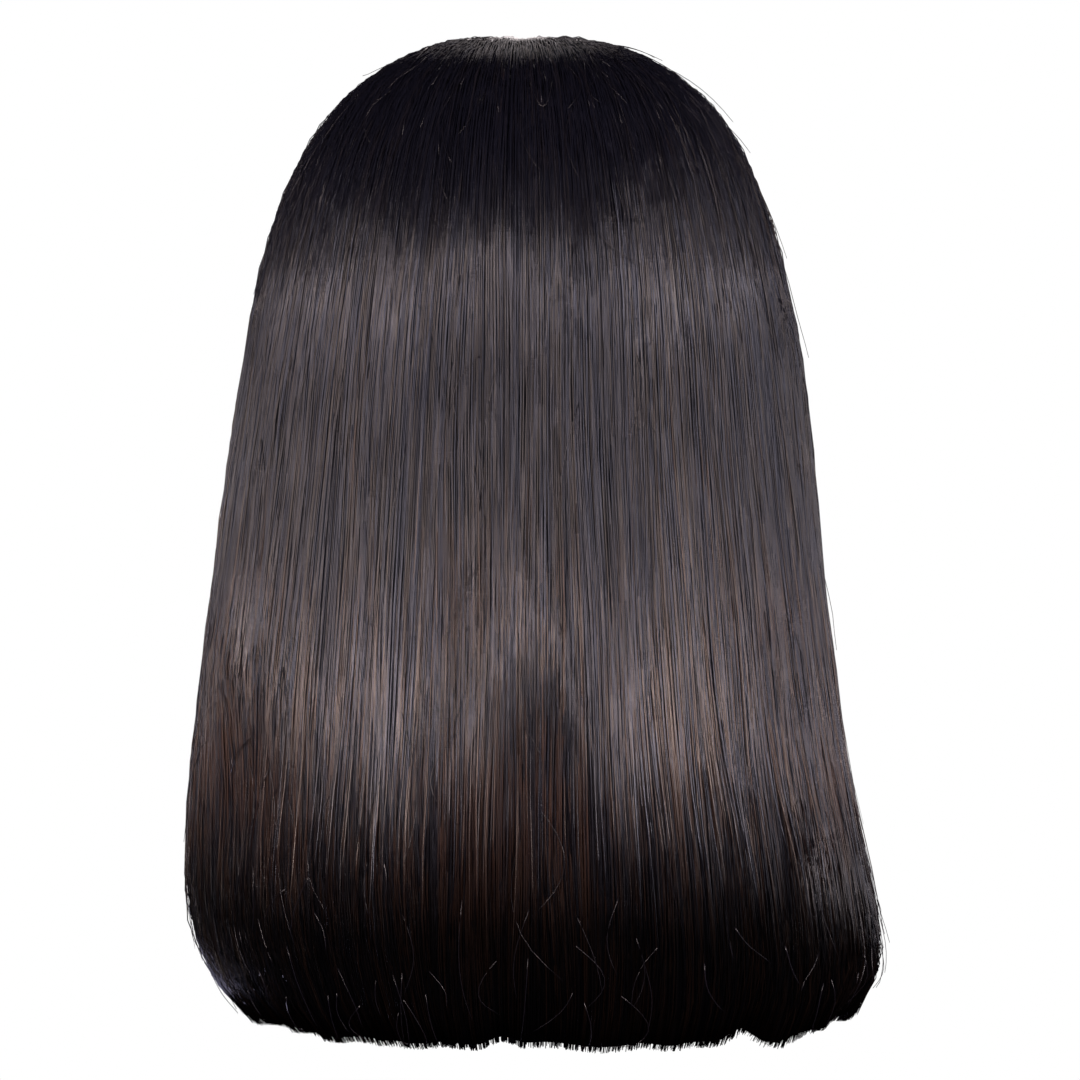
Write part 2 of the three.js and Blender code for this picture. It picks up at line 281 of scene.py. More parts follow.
@dataclass(frozen=True)
class CapForm:
    """The cap that lies on the head: its wall, its edge, and the seam between net and lace."""

    head: HeadForm = HeadForm()
    wall: float = 1.6 * MM
    seam_at_crown: float = 24 * MM
    seam_lean: float = 14.0
    band_height: float = 12 * MM
    band_half_sweep: float = 67.5
    seat_gap: float = 0.3 * MM

    def edge(self, turn: np.ndarray) -> np.ndarray:
        """Gives the height of the cap's lower edge, eased between the stops of CAP_EDGE.

        Args:
            turn: degrees from the middle of the nape.

        Returns:
            The height at each turn.
        """
        turns, drops = np.array([astuple(stop) for stop in CAP_EDGE]).T
        away = np.abs(turn)
        after = np.clip(np.searchsorted(turns, away), 1, len(turns) - 1)
        share = ease(0, 1, (away - turns[after - 1]) / (turns[after] - turns[after - 1]))
        return -self.head.dome * mix(drops[after - 1], drops[after], share)

    def point(self, turn: np.ndarray, share: np.ndarray, lift: np.ndarray) -> np.ndarray:
        """Gives a point of the cap: over the dome as a bent arc, then straight down to the edge.

        Args:
            turn: degrees from the middle of the nape.
            share: 0 at the crown, 1 at the edge.
            lift: the distance outside the head.

        Returns:
            Positions, with a last axis of 3.
        """
        turn, share, lift = np.broadcast_arrays(
            np.asarray(turn, float), np.asarray(share, float), np.asarray(lift, float)
        )
        angle, power, dome = np.radians(turn), 2 / self.head.squareness, self.head.dome
        dome_length = self.dome_length(turn)
        travelled = share * self.length(turn)
        bend = np.minimum(travelled, dome_length) / dome
        level = np.stack([np.sin(angle), np.cos(angle), np.zeros_like(angle)], -1)
        reach = self.head.distance(np.full_like(angle, -dome), level)
        past = travelled > dome_length
        wide = reach * np.where(past, 1, np.maximum(0, np.sin(bend)) ** power)
        high = np.where(past, dome_length - travelled, dome * np.maximum(0, np.cos(bend)) ** power)
        points = np.stack([wide * np.sin(angle), wide * np.cos(angle), high - dome], -1)
        return self.head.outside(points, lift)

    def line(
        self, turn: np.ndarray, share: np.ndarray, lift: np.ndarray
    ) -> tuple[np.ndarray, np.ndarray]:
        """Lays lines on the cap, for a section to be carried along.

        Args:
            turn: degrees from the middle of the nape.
            share: 0 at the crown, 1 at the edge.
            lift: the distance outside the head.

        Returns:
            Positions, and the way out at each, both with a last axis of 3.
        """
        points = self.point(turn, share, lift)
        return points, unit(self.point(turn, share, lift + MM) - points)

    def dome_length(self, turn: np.ndarray) -> np.ndarray:
        """Gives the length of the wall over the dome, which ends at the edge or at the widest line."""
        above = np.maximum(0, 1 + self.edge(turn) / self.head.dome)
        return self.head.dome * np.arccos(above ** (self.head.squareness / 2))

    def length(self, turn: np.ndarray) -> np.ndarray:
        """Gives the length of the cap's wall from the crown to the edge."""
        return self.dome_length(turn) + np.maximum(0, -self.head.dome - self.edge(turn))

    def seam_share(self, turn: np.ndarray) -> np.ndarray:
        """Finds by halving where the wall passes behind the crown seam.

        Args:
            turn: degrees from the middle of the nape.

        Returns:
            The share of the wall's length there, or 1 where it never passes.
        """
        low, high = np.zeros(np.shape(turn)), np.ones(np.shape(turn))
        for _ in range(24):
            middle = (low + high) / 2
            behind = self.behind_seam(self.point(turn, middle, 0))
            low, high = np.where(behind, low, middle), np.where(behind, middle, high)
        return low

    def behind_seam(self, points: np.ndarray) -> np.ndarray:
        """Tells which points lie behind the leaning plane of the seam."""
        lean = math.radians(self.seam_lean)
        return (points[..., 1] - self.seam_at_crown) * math.cos(lean) > points[..., 2] * math.sin(lean)


@dataclass(frozen=True)
class HairForm:
    """The hair's outline: its reach, its layers and how it lies on the cap."""

    cap: CapForm = CapForm()
    crown_lift: float = 10 * MM
    height: float = 358.5 * MM
    half_width: float = 126 * MM
    back_depth: float = 126 * MM
    front_depth: float = 118 * MM
    outer_layer: float = 9 * MM
    side_layer: float = 12 * MM
    under_layer: float = 8 * MM
    under_gap: float = 1.2 * MM
    under_lift: float = 7 * MM
    edge_layer: float = 4.5 * MM
    root_layer: float = 3.2 * MM
    knot_rise: float = 0.9 * MM
    parting_gap: float = 3 * MM
    parting_end: float = 0.14
    lock_depth: float = 1.5 * MM
    lock_count: int = 44

    def level(self, row: np.ndarray) -> np.ndarray:
        """Reads the table of levels at a row by a cubic through the four nearest rows.

        Args:
            row: places between 0 and the last row; a little past it runs on.

        Returns:
            The six columns of the table, stacked on the first axis.
        """
        table = np.array([astuple(level) for level in LEVELS])
        padded = np.vstack([2 * table[0] - table[1], table, 2 * table[-1] - table[-2]])
        base = np.clip(np.floor(row).astype(int), 0, LAST_ROW - 1)
        t = (row - base)[..., None]
        p0, p1, p2, p3 = (padded[base + step] for step in range(4))
        bend = 2 * p0 - 5 * p1 + 4 * p2 - p3
        value = p1 + 0.5 * t * (p2 - p0 + t * (bend + t * (3 * (p1 - p2) + p3 - p0)))
        return np.moveaxis(value, -1, 0)

    def outline(self, side: np.ndarray, row: np.ndarray) -> np.ndarray:
        """Gives the hair's outline: an ellipse at each level, above the head's own fall at the roots.

        Args:
            side: the place round the wig, from -1 at the right front edge to 1 at the left.
            row: the level.

        Returns:
            Positions, with a last axis of 3.
        """
        drop, left, right, back, front, opening = self.level(row)
        angle = np.pi * side * (1 - opening * np.abs(side))
        root_cos = np.cos(np.pi * side)
        first = LEVELS[0]
        root = root_cos * np.where(
            root_cos > 0, first.back * self.back_depth, first.front * self.front_depth
        )
        wide = np.where(side > 0, left, right) * self.half_width
        deep = np.where(np.cos(angle) > 0, back * self.back_depth, front * self.front_depth)
        parting = np.sign(side) * self.parting_gap / 2 * ease(0, self.parting_end, np.abs(side))
        fade = (1 - np.clip(drop / LEVELS[SEATED_ROW].drop, 0, 1)) ** 2
        notch = self.notch(side) * ease(HEM_ROW, LAST_ROW, row)
        high = self.crown_lift - drop * self.height - self.cap.head.fall(root) * fade + notch
        return np.stack([parting + wide * np.sin(angle), deep * np.cos(angle), high], -1)

    def notch(self, side: np.ndarray) -> np.ndarray:
        """Gives how far the notches in the hem lift it."""
        rises = [
            n.rise * (1 - ease(0, NOTCH_HALF_WIDTH, np.abs(side - n.side))) for n in HEM_NOTCHES
        ]
        return self.height * np.sum(rises, axis=0)

    def pressed(self, side: np.ndarray, row: np.ndarray) -> np.ndarray:
        """Gives how closely the hair is pressed to the cap: fully at the parting and the hairline."""
        hairline = ease(0.72, 1, np.abs(side)) * (1 - ease(SEATED_ROW - 2, SEATED_ROW + 1, row))
        return np.maximum(1 - ease(0, 2, row), hairline)

    def thickness(self, side: np.ndarray) -> np.ndarray:
        """Gives the outer layer's thickness, which thins to the edges that frame the face."""
        full = mix(self.outer_layer, self.side_layer, ease(0.45, 0.6, np.abs(side)))
        return mix(full, self.edge_layer, ease(0.8, 1, np.abs(side)))

    def ray(self, side: np.ndarray, row: np.ndarray) -> dict[str, np.ndarray]:
        """Finds each strand's ray at a level.

        Args:
            side: the place round the wig.
            row: the level.

        Returns:
            The rays' feet and directions, and the distances of the cap and of the hair's two sides.
        """
        side, row = np.broadcast_arrays(np.asarray(side, float), np.asarray(row, float))
        point = self.outline(side, row)
        foot = np.zeros_like(point)
        foot[..., 2] = np.minimum(point[..., 2], -self.cap.head.dome)
        reach = np.linalg.norm(point - foot, axis=-1)
        direction = unit(point - foot)
        seat = self.cap.head.distance(foot[..., 2], direction)
        seat = seat + self.cap.wall + self.cap.seat_gap + self.knot_rise
        full = np.maximum(reach - self.lock_depth, seat + self.root_layer)
        outside = mix(full, seat + self.root_layer, self.pressed(side, row))
        hanging = outside - self.thickness(side)
        inside = np.maximum(seat, mix(seat, hanging, ease(SEATED_ROW - 1, SEATED_ROW, row)))
        return {"foot": foot, "out": direction, "seat": seat, "outside": outside, "inside": inside}

    def relief(self, side: np.ndarray, row: np.ndarray) -> np.ndarray:
        """Gives the relief of the hair's outside.

        It dips where the parting ends at the back. Over the rest lie a rounded ridge for each lock,
        soft random swells of lock and wisp size whose slopes tilt the strands by a few degrees, and
        the larger swells of SWELLS. Heights are in millimetres until the last line.

        Args:
            side: the place round the wig.
            row: the level.

        Returns:
            The height above the layer's outside.
        """
        drop = self.level(row)[0]
        across = (side + 1) * self.lock_count / 2
        drift = 0.3 * smooth_noise(11, across * 0.5, drop * 4)
        ridge = np.abs(np.sin(np.pi * (across + drift))) ** 0.7
        lock = smooth_noise(12, across * 1.3, drop * 9)
        wisp = smooth_noise(13, across * 4.1, drop * 12)
        grown = ease(0, 3, row) * mix(0.3, 1, ease(0.15, 0.5, drop))
        height = grown * (0.65 * ridge + 0.8 * lock + 0.8 * wisp)
        height = height - 0.9 * (1 - ease(0, 2.5, row)) * np.exp(-((side / 0.025) ** 2))
        for swell in SWELLS:
            beside = np.exp(-(((side - swell.side) / swell.half_width) ** 2))
            height = height + swell.rise * beside * ease(swell.start, swell.end, drop)
        return height * MM

    def tip_wave(self, side: np.ndarray, row: np.ndarray) -> np.ndarray:
        """Gives how far the hem waves up and down from lock to lock."""
        across = (side + 1) * self.lock_count / 2
        return 0.7 * MM * np.sin(across * 2.7) * ease(HEM_ROW, LAST_ROW, row)

    def place(self, ray: dict[str, np.ndarray], distance: np.ndarray) -> np.ndarray:
        """Gives the points at a distance along the rays."""
        return ray["foot"] + ray["out"] * distance[..., None]


def add_mesh(
    name: str, points: np.ndarray, faces: np.ndarray, uv: np.ndarray | None = None
) -> bpy.types.Object:
    """Makes an object from arrays, smooth shaded.

    Args:
        name: the piece's name.
        points: vertex positions, one row each.
        faces: vertex numbers, three or four to a row, turning anticlockwise seen from outside.
        uv: for each vertex its place on the piece's own map, if it has one.

    Returns:
        The object, linked to the scene, with its place in its mesh.
    """
    mesh = bpy.data.meshes.new(name)
    count, corners = faces.shape
    mesh.vertices.add(len(points))
    mesh.vertices.foreach_set("co", np.ascontiguousarray(points, np.float32).ravel())
    mesh.loops.add(count * corners)
    mesh.loops.foreach_set("vertex_index", faces.astype(np.int32).ravel())
    mesh.polygons.add(count)
    mesh.polygons.foreach_set("loop_start", np.arange(count, dtype=np.int32) * corners)
    mesh.polygons.foreach_set("use_smooth", np.ones(count, bool))
    mesh.update(calc_edges=True)
    if uv is not None:
        layer = mesh.uv_layers.new(name="strand")
        layer.data.foreach_set("uv", uv[faces.ravel()].astype(np.float32).ravel())
    piece = bpy.data.objects.new(name, mesh)
    bpy.context.scene.collection.objects.link(piece)
    return piece


def tubes(
    paths: np.ndarray, outward: np.ndarray, width: np.ndarray, height: np.ndarray, sides: int = 3
) -> tuple[np.ndarray, np.ndarray]:
    """Carries a closed section with few sides along many paths at once.

    A section's points lie on an ellipse in the plane of the outward way and the way across, which is
    the path's direction crossed with outward; the first point of the section points outward.

    Args:
        paths: strands by steps by 3.
        outward: the way out at each step, the same shape.
        width: the section's width at each step.
        height: the section's height at each step.
        sides: the number of corners of a section.

    Returns:
        Vertex positions and triangles.
    """
    strands, steps, _ = paths.shape
    along = unit(np.gradient(paths, axis=1))
    across = unit(np.cross(along, outward))
    upward = np.cross(across, along)
    turn = np.pi / 2 + 2 * np.pi * np.arange(sides) / sides
    ring = (
        across[:, :, None] * (np.cos(turn)[:, None] * width[:, :, None, None] / 2)
        + upward[:, :, None] * (np.sin(turn)[:, None] * height[:, :, None, None] / 2)
    )
    points = (paths[:, :, None] + ring).reshape(-1, 3)
    start = (np.arange(strands) * steps * sides)[:, None, None]
    step = (np.arange(steps - 1) * sides)[None, :, None]
    corner = np.arange(sides)[None, None, :]
    a = start + step + corner
    b = start + step + (corner + 1) % sides
    c, d = b + sides, a + sides
    walls = np.concatenate(
        [np.stack([a, d, c], -1).reshape(-1, 3), np.stack([a, c, b], -1).reshape(-1, 3)]
    )
    first = start[:, 0] + np.arange(sides)
    last = first + (steps - 1) * sides
    fan = [(0, k, k + 1) for k in range(1, sides - 1)]
    caps = [first[:, tri] for tri in fan] + [last[:, tri[::-1]] for tri in fan]
    return points, np.concatenate([walls, *caps])


def sheet_between(outer: np.ndarray, inner: np.ndarray, closes: bool) -> tuple[np.ndarray, np.ndarray]:
    """Closes two grids of points of one size into a wall.

    Args:
        outer: rows by columns by 3, columns running from the wearer's right round the back.
        inner: the same for the inner side.
        closes: whether the last column joins the first.

    Returns:
        Vertex positions and triangles.
    """
    rows, columns, _ = outer.shape
    points = np.concatenate([outer.reshape(-1, 3), inner.reshape(-1, 3)])
    start = rows * columns
    row = np.arange(rows - 1)[:, None]
    column = np.arange(columns if closes else columns - 1)[None]
    a = (row * columns + column).ravel()
    b = (row * columns + (column + 1) % columns).ravel()
    c, d = b + columns, a + columns
    faces = [np.stack(t, -1) for t in ((a, b, c), (a, c, d))]
    faces += [start + np.stack(t, -1) for t in ((a, c, b), (a, d, c))]
    top, below = column.ravel(), (rows - 1) * columns + column.ravel()
    top2, below2 = (column.ravel() + 1) % columns, (rows - 1) * columns + (column.ravel() + 1) % columns
    faces += [np.stack(t, -1) for t in ((top, start + top, start + top2), (top, start + top2, top2))]
    faces += [
        np.stack(t, -1)
        for t in ((below, below2, start + below2), (below, start + below2, start + below))
    ]
    if not closes:
        left, right = (np.arange(rows - 1) * columns), (np.arange(rows - 1) * columns + columns - 1)
        left2, right2 = left + columns, right + columns
        faces += [
            np.stack(t, -1)
            for t in (
                (left, left2, start + left2),
                (left, start + left2, start + left),
                (right, start + right, start + right2),
                (right, start + right2, right2),
            )
        ]
    return points, np.concatenate(faces)


def weld(
    points: np.ndarray, faces: np.ndarray, uv: np.ndarray
) -> tuple[np.ndarray, np.ndarray, np.ndarray]:
    """Joins vertices that share a place, such as a pole, and drops the triangles that close up.

    Args:
        points: vertex positions.
        faces: triangles.
        uv: each vertex's place on the map.

    Returns:
        The same three without the repeats.
    """
    key = np.round(points / (0.001 * MM)).astype(np.int64)
    _, first, place = np.unique(key, axis=0, return_index=True, return_inverse=True)
    faces = place.ravel()[faces]
    open_faces = (faces != np.roll(faces, 1, axis=1)).all(axis=1)
    return points[first], faces[open_faces], uv[first]


def add_node(
    tree: bpy.types.NodeTree, kind: str, settings: dict | None = None, links: dict | None = None
) -> bpy.types.Node:
    """Adds a shader node with its settings and links.

    Args:
        tree: the node tree.
        kind: the node's type name after ShaderNode.
        settings: attributes, or input sockets by name or number, and their values.
        links: input sockets by name or number, and the output sockets that feed them.

    Returns:
        The node.
    """
    node = tree.nodes.new(f"ShaderNode{kind}")
    for key, value in (settings or {}).items():
        if isinstance(key, str) and hasattr(node, key):
            setattr(node, key, value)
        else:
            node.inputs[key].default_value = value
    for key, socket in (links or {}).items():
        tree.links.new(socket, node.inputs[key])
    return node


def calculate(
    tree: bpy.types.NodeTree, operation: str, *inputs: float | bpy.types.NodeSocket
) -> bpy.types.NodeSocket:
    """Adds a math node.

    Args:
        tree: the node tree.
        operation: what the node works out.
        inputs: its inputs in order, each a number or the socket that feeds it.

    Returns:
        Its output.
    """
    numbers = {at: value for at, value in enumerate(inputs) if isinstance(value, float)}
    sockets = {at: value for at, value in enumerate(inputs) if not isinstance(value, float)}
    return add_node(tree, "Math", {"operation": operation, **numbers}, sockets).outputs[0]


def eased_node(
    tree: bpy.types.NodeTree,
    value: bpy.types.NodeSocket,
    span: tuple[float, float],
    result: tuple[float, float],
) -> bpy.types.NodeSocket:
    """Adds a smooth rise or fall.

    Args:
        tree: the node tree.
        value: the socket that feeds it.
        span: the values where it starts and ends.
        result: what it gives at each.

    Returns:
        Its output.
    """
    settings = {"interpolation_type": "SMOOTHSTEP"}
    settings.update(zip((1, 2, 3, 4), (*span, *result)))
    return add_node(tree, "MapRange", settings, {0: value}).outputs[0]


def noise_node(tree: bpy.types.NodeTree, size: float, detail: float) -> bpy.types.NodeSocket:
    """Adds soft random blotches that stay with the object.

    Args:
        tree: the node tree.
        size: a blotch's size in metres.
        detail: how many finer layers of blotches lie in it.

    Returns:
        Its factor.
    """
    place = add_node(tree, "TexCoord").outputs["Object"]
    return add_node(
        tree, "TexNoise", {"Scale": 1 / size, "Detail": detail}, {"Vector": place}
    ).outputs["Fac"]


def colour_ramp(
    tree: bpy.types.NodeTree, factor: bpy.types.NodeSocket, stops: tuple[tuple[float, str], ...]
) -> bpy.types.NodeSocket:
    """Adds a ramp of colours.

    Args:
        tree: the node tree.
        factor: the socket that feeds it.
        stops: places from 0 to 1, and the sRGB hex colour at each.

    Returns:
        Its colour.
    """
    ramp = add_node(tree, "ValToRGB", {}, {"Fac": factor})
    elements = ramp.color_ramp.elements
    while len(elements) < len(stops):
        elements.new(0.5)
    for element, (place, colour) in zip(elements, stops):
        element.position = place
        element.color = srgb(colour)
    return ramp.outputs["Color"]


def own_map(tree: bpy.types.NodeTree) -> tuple[bpy.types.NodeSocket, bpy.types.NodeSocket]:
    """Reads the piece's own map.

    Args:
        tree: the node tree.

    Returns:
        Its first and its second coordinate.
    """
    uv = add_node(tree, "UVMap", {"uv_map": "strand"})
    split = add_node(tree, "SeparateXYZ", {}, {0: uv.outputs[0]})
    return split.outputs[0], split.outputs[1]


@dataclass(frozen=True)
class Finish:
    """What all finishes share: a name, a roughness, and a fine relief of a strength and a depth."""

    name: str
    roughness: float
    strength: float
    depth: float

    def start(self) -> tuple[bpy.types.Material, bpy.types.NodeTree]:
        """Makes the empty node material.

        Returns:
            The material and its node tree.
        """
        material = bpy.data.materials.new(self.name)
        material.use_nodes = True
        material.node_tree.nodes.clear()
        return material, material.node_tree

    def close(
        self,
        tree: bpy.types.NodeTree,
        height: bpy.types.NodeSocket,
        links: dict,
        settings: dict | None = None,
        invert: bool = False,
    ) -> None:
        """Ends the tree with its bump, its shader and its output.

        Args:
            tree: the node tree.
            height: the socket of the fine relief.
            links: the shader's fed sockets, and the output sockets that feed them.
            settings: the shader's other constants.
            invert: whether the relief goes inwards.
        """
        relief = {"Strength": self.strength, "Distance": self.depth, "invert": invert}
        bump = add_node(tree, "Bump", relief, {"Height": height})
        constants = {"Roughness": self.roughness, **(settings or {})}
        shader = add_node(tree, "BsdfPrincipled", constants, {**links, "Normal": bump.outputs[0]})
        add_node(tree, "OutputMaterial", {}, {"Surface": shader.outputs[0]})


@dataclass(frozen=True)
class HairFinish(Finish):
    """Straight black-brown human hair, steamed and lightly oiled.

    Each hair is a smooth keratin rod, so the eye sees long streaks: nearly black in the gaps, brown
    where a strand is thin, and a soft sheen along every strand that faces a light, bluish on some and
    warm on others. Its colour drifts over zones of 45 mm. It is darkened over the dome as painted
    shade, and falls to a tenth as painted shade where the ends turn under. Its scales are drawn
    2.5 mm long and 0.1 mm deep. The strands are about 0.6 mm wide, six times a real hair, so that
    they show.
    """

    name: str = "human_hair_steamed_straight"
    roughness: float = 0.18
    strength: float = 0.18
    depth: float = 0.1 * MM
    darkest: str = "06060b"
    dark: str = "0c0a0d"
    brown: str = "221612"
    cool_sheen: str = "e4e8fa"
    warm_sheen: str = "fff5ec"
    ior: float = 1.55
    zone_size: float = 45 * MM
    zone_drift: float = 0.35
    scale_size: float = 2.5 * MM
    # How far painted shade takes the colour down where the ends turn under.
    painted_end_shade: float = 0.1

    def build(self) -> bpy.types.Material:
        """Colours each strand by its own draw, and tints its sheen by the same draw.

        The draw is moved along the colours by soft zones and by the drop: down to half the ramp
        darker over the top quarter, as painted shade where the dome turns up away from the lights, and
        a tenth towards the brown below three quarters. Painted shade then scales the colour down to a
        tenth where the ends turn under.

        Returns:
            The material.
        """
        material, tree = self.start()
        own, drop = own_map(tree)
        zones = noise_node(tree, self.zone_size, 2.0)
        drift = calculate(tree, "MULTIPLY_ADD", zones, 2 * self.zone_drift, -self.zone_drift)
        # Painted shade: the draw falls by up to half the ramp over the dome, which turns up away from the
        # lights; low down it moves a tenth towards the brown.
        dome_shade_and_warmth = eased_node(tree, drop, (0.25, 0.75), (-0.5, 0.1))
        draw = calculate(tree, "ADD", calculate(tree, "ADD", own, drift), dome_shade_and_warmth)
        stops = ((0.0, self.darkest), (0.45, self.dark), (0.85, self.brown), (1.0, self.brown))
        # Painted shade: the colour is scaled down to a tenth where the ends turn under, away from the
        # lights.
        shade = eased_node(tree, drop, (0.74, 0.9), (1.0, self.painted_end_shade))
        feeds = {0: colour_ramp(tree, draw, stops), "Scale": shade}
        colour = add_node(tree, "VectorMath", {"operation": "SCALE"}, feeds).outputs[0]
        sheen = colour_ramp(tree, own, ((0.2, self.cool_sheen), (0.6, self.warm_sheen)))
        scales = noise_node(tree, self.scale_size, 1.0)
        self.close(tree, scales, {"Base Color": colour, "Specular Tint": sheen}, {"IOR": self.ior})
        return material


@dataclass(frozen=True)
class NetFinish(Finish):
    """A knitted net of nylon thread: matt threads over darker holes, in a diamond pattern that runs
    with the piece's own map, drawn with 1.6 mm cells so that it shows."""

    roughness: float = 0.75
    strength: float = 0.6
    depth: float = 0.4 * MM
    thread: str = "6a5f62"
    hole: str = "2a2426"
    cell: float = 1.6 * MM

    def build(self) -> bpy.types.Material:
        """Crosses two sets of diagonal waves into diamonds, and raises the threads.

        Returns:
            The material.
        """
        material, tree = self.start()
        across, down = own_map(tree)
        waves = []
        for slant in (1.0, -1.0):
            diagonal = calculate(tree, "MULTIPLY_ADD", across, slant, down)
            turn = calculate(tree, "MULTIPLY", diagonal, math.pi / self.cell)
            waves.append(calculate(tree, "ABSOLUTE", calculate(tree, "SINE", turn)))
        least = calculate(tree, "MINIMUM", *waves)
        colour = colour_ramp(tree, least, ((0.25, self.thread), (0.55, self.hole)))
        self.close(tree, least, {"Base Color": colour}, invert=True)
        return material


@dataclass(frozen=True)
class ThreadFinish(Finish):
    """Spun thread or knitted elastic: matt, with a fibre grain of under 1 mm in colour and surface."""

    roughness: float = 0.8
    strength: float = 0.4
    depth: float = 0.2 * MM
    light: str = "4a4144"
    dark: str = "2c2528"
    grain: float = 0.8 * MM

    def build(self) -> bpy.types.Material:
        """Mixes two close colours by fibre-sized noise and raises the fibres.

        Returns:
            The material.
        """
        material, tree = self.start()
        fibres = noise_node(tree, self.grain, 3.0)
        colour = colour_ramp(tree, fibres, ((0.3, self.dark), (0.7, self.light)))
        self.close(tree, fibres, {"Base Color": colour})
        return material


class Slot(Enum):
    """The record's material slots."""

    HAIR = "hair"
    CAP_NET = "cap_net"
    LACE = "lace"
    ELASTIC = "elastic"


def dress(piece: bpy.types.Object, material: bpy.types.Material, node: str) -> None:
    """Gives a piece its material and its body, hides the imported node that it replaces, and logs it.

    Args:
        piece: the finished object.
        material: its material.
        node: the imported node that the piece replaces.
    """
    piece.data.materials.append(material)
    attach(piece, "root")
    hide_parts(node)
    log.info("%s: %d faces", piece.name, len(piece.data.polygons))


def row_stops(form: HairForm, first: float, last: float, steps: int) -> np.ndarray:
    """Spaces steps along a strand, half by level and half by length.

    Args:
        form: the hair's outline.
        first: the level at the strand's start.
        last: the level at its end.
        steps: how many stops.

    Returns:
        The stops, as levels.
    """
    fine = np.linspace(first, last, 200)
    line = form.outline(np.full_like(fine, 0.5), fine)
    length = np.concatenate([[0], np.cumsum(np.linalg.norm(np.diff(line, axis=0), axis=1))])
    by_length = np.interp(np.linspace(0, length[-1], steps), length, fine)
    return (by_length + np.linspace(first, last, steps)) / 2


def strand_stops(form: HairForm, start_row: float) -> tuple[np.ndarray, np.ndarray]:
    """Spaces a strand's steps: close over the dome and at the hem, wider down the straight length.

    Args:
        form: the hair's outline.
        start_row: the level at which a full strand starts.

    Returns:
        Places between 0 and 1, and the level at each.
    """
    stops = 96
    return np.linspace(0, 1, stops), row_stops(form, start_row, LAST_ROW, stops)


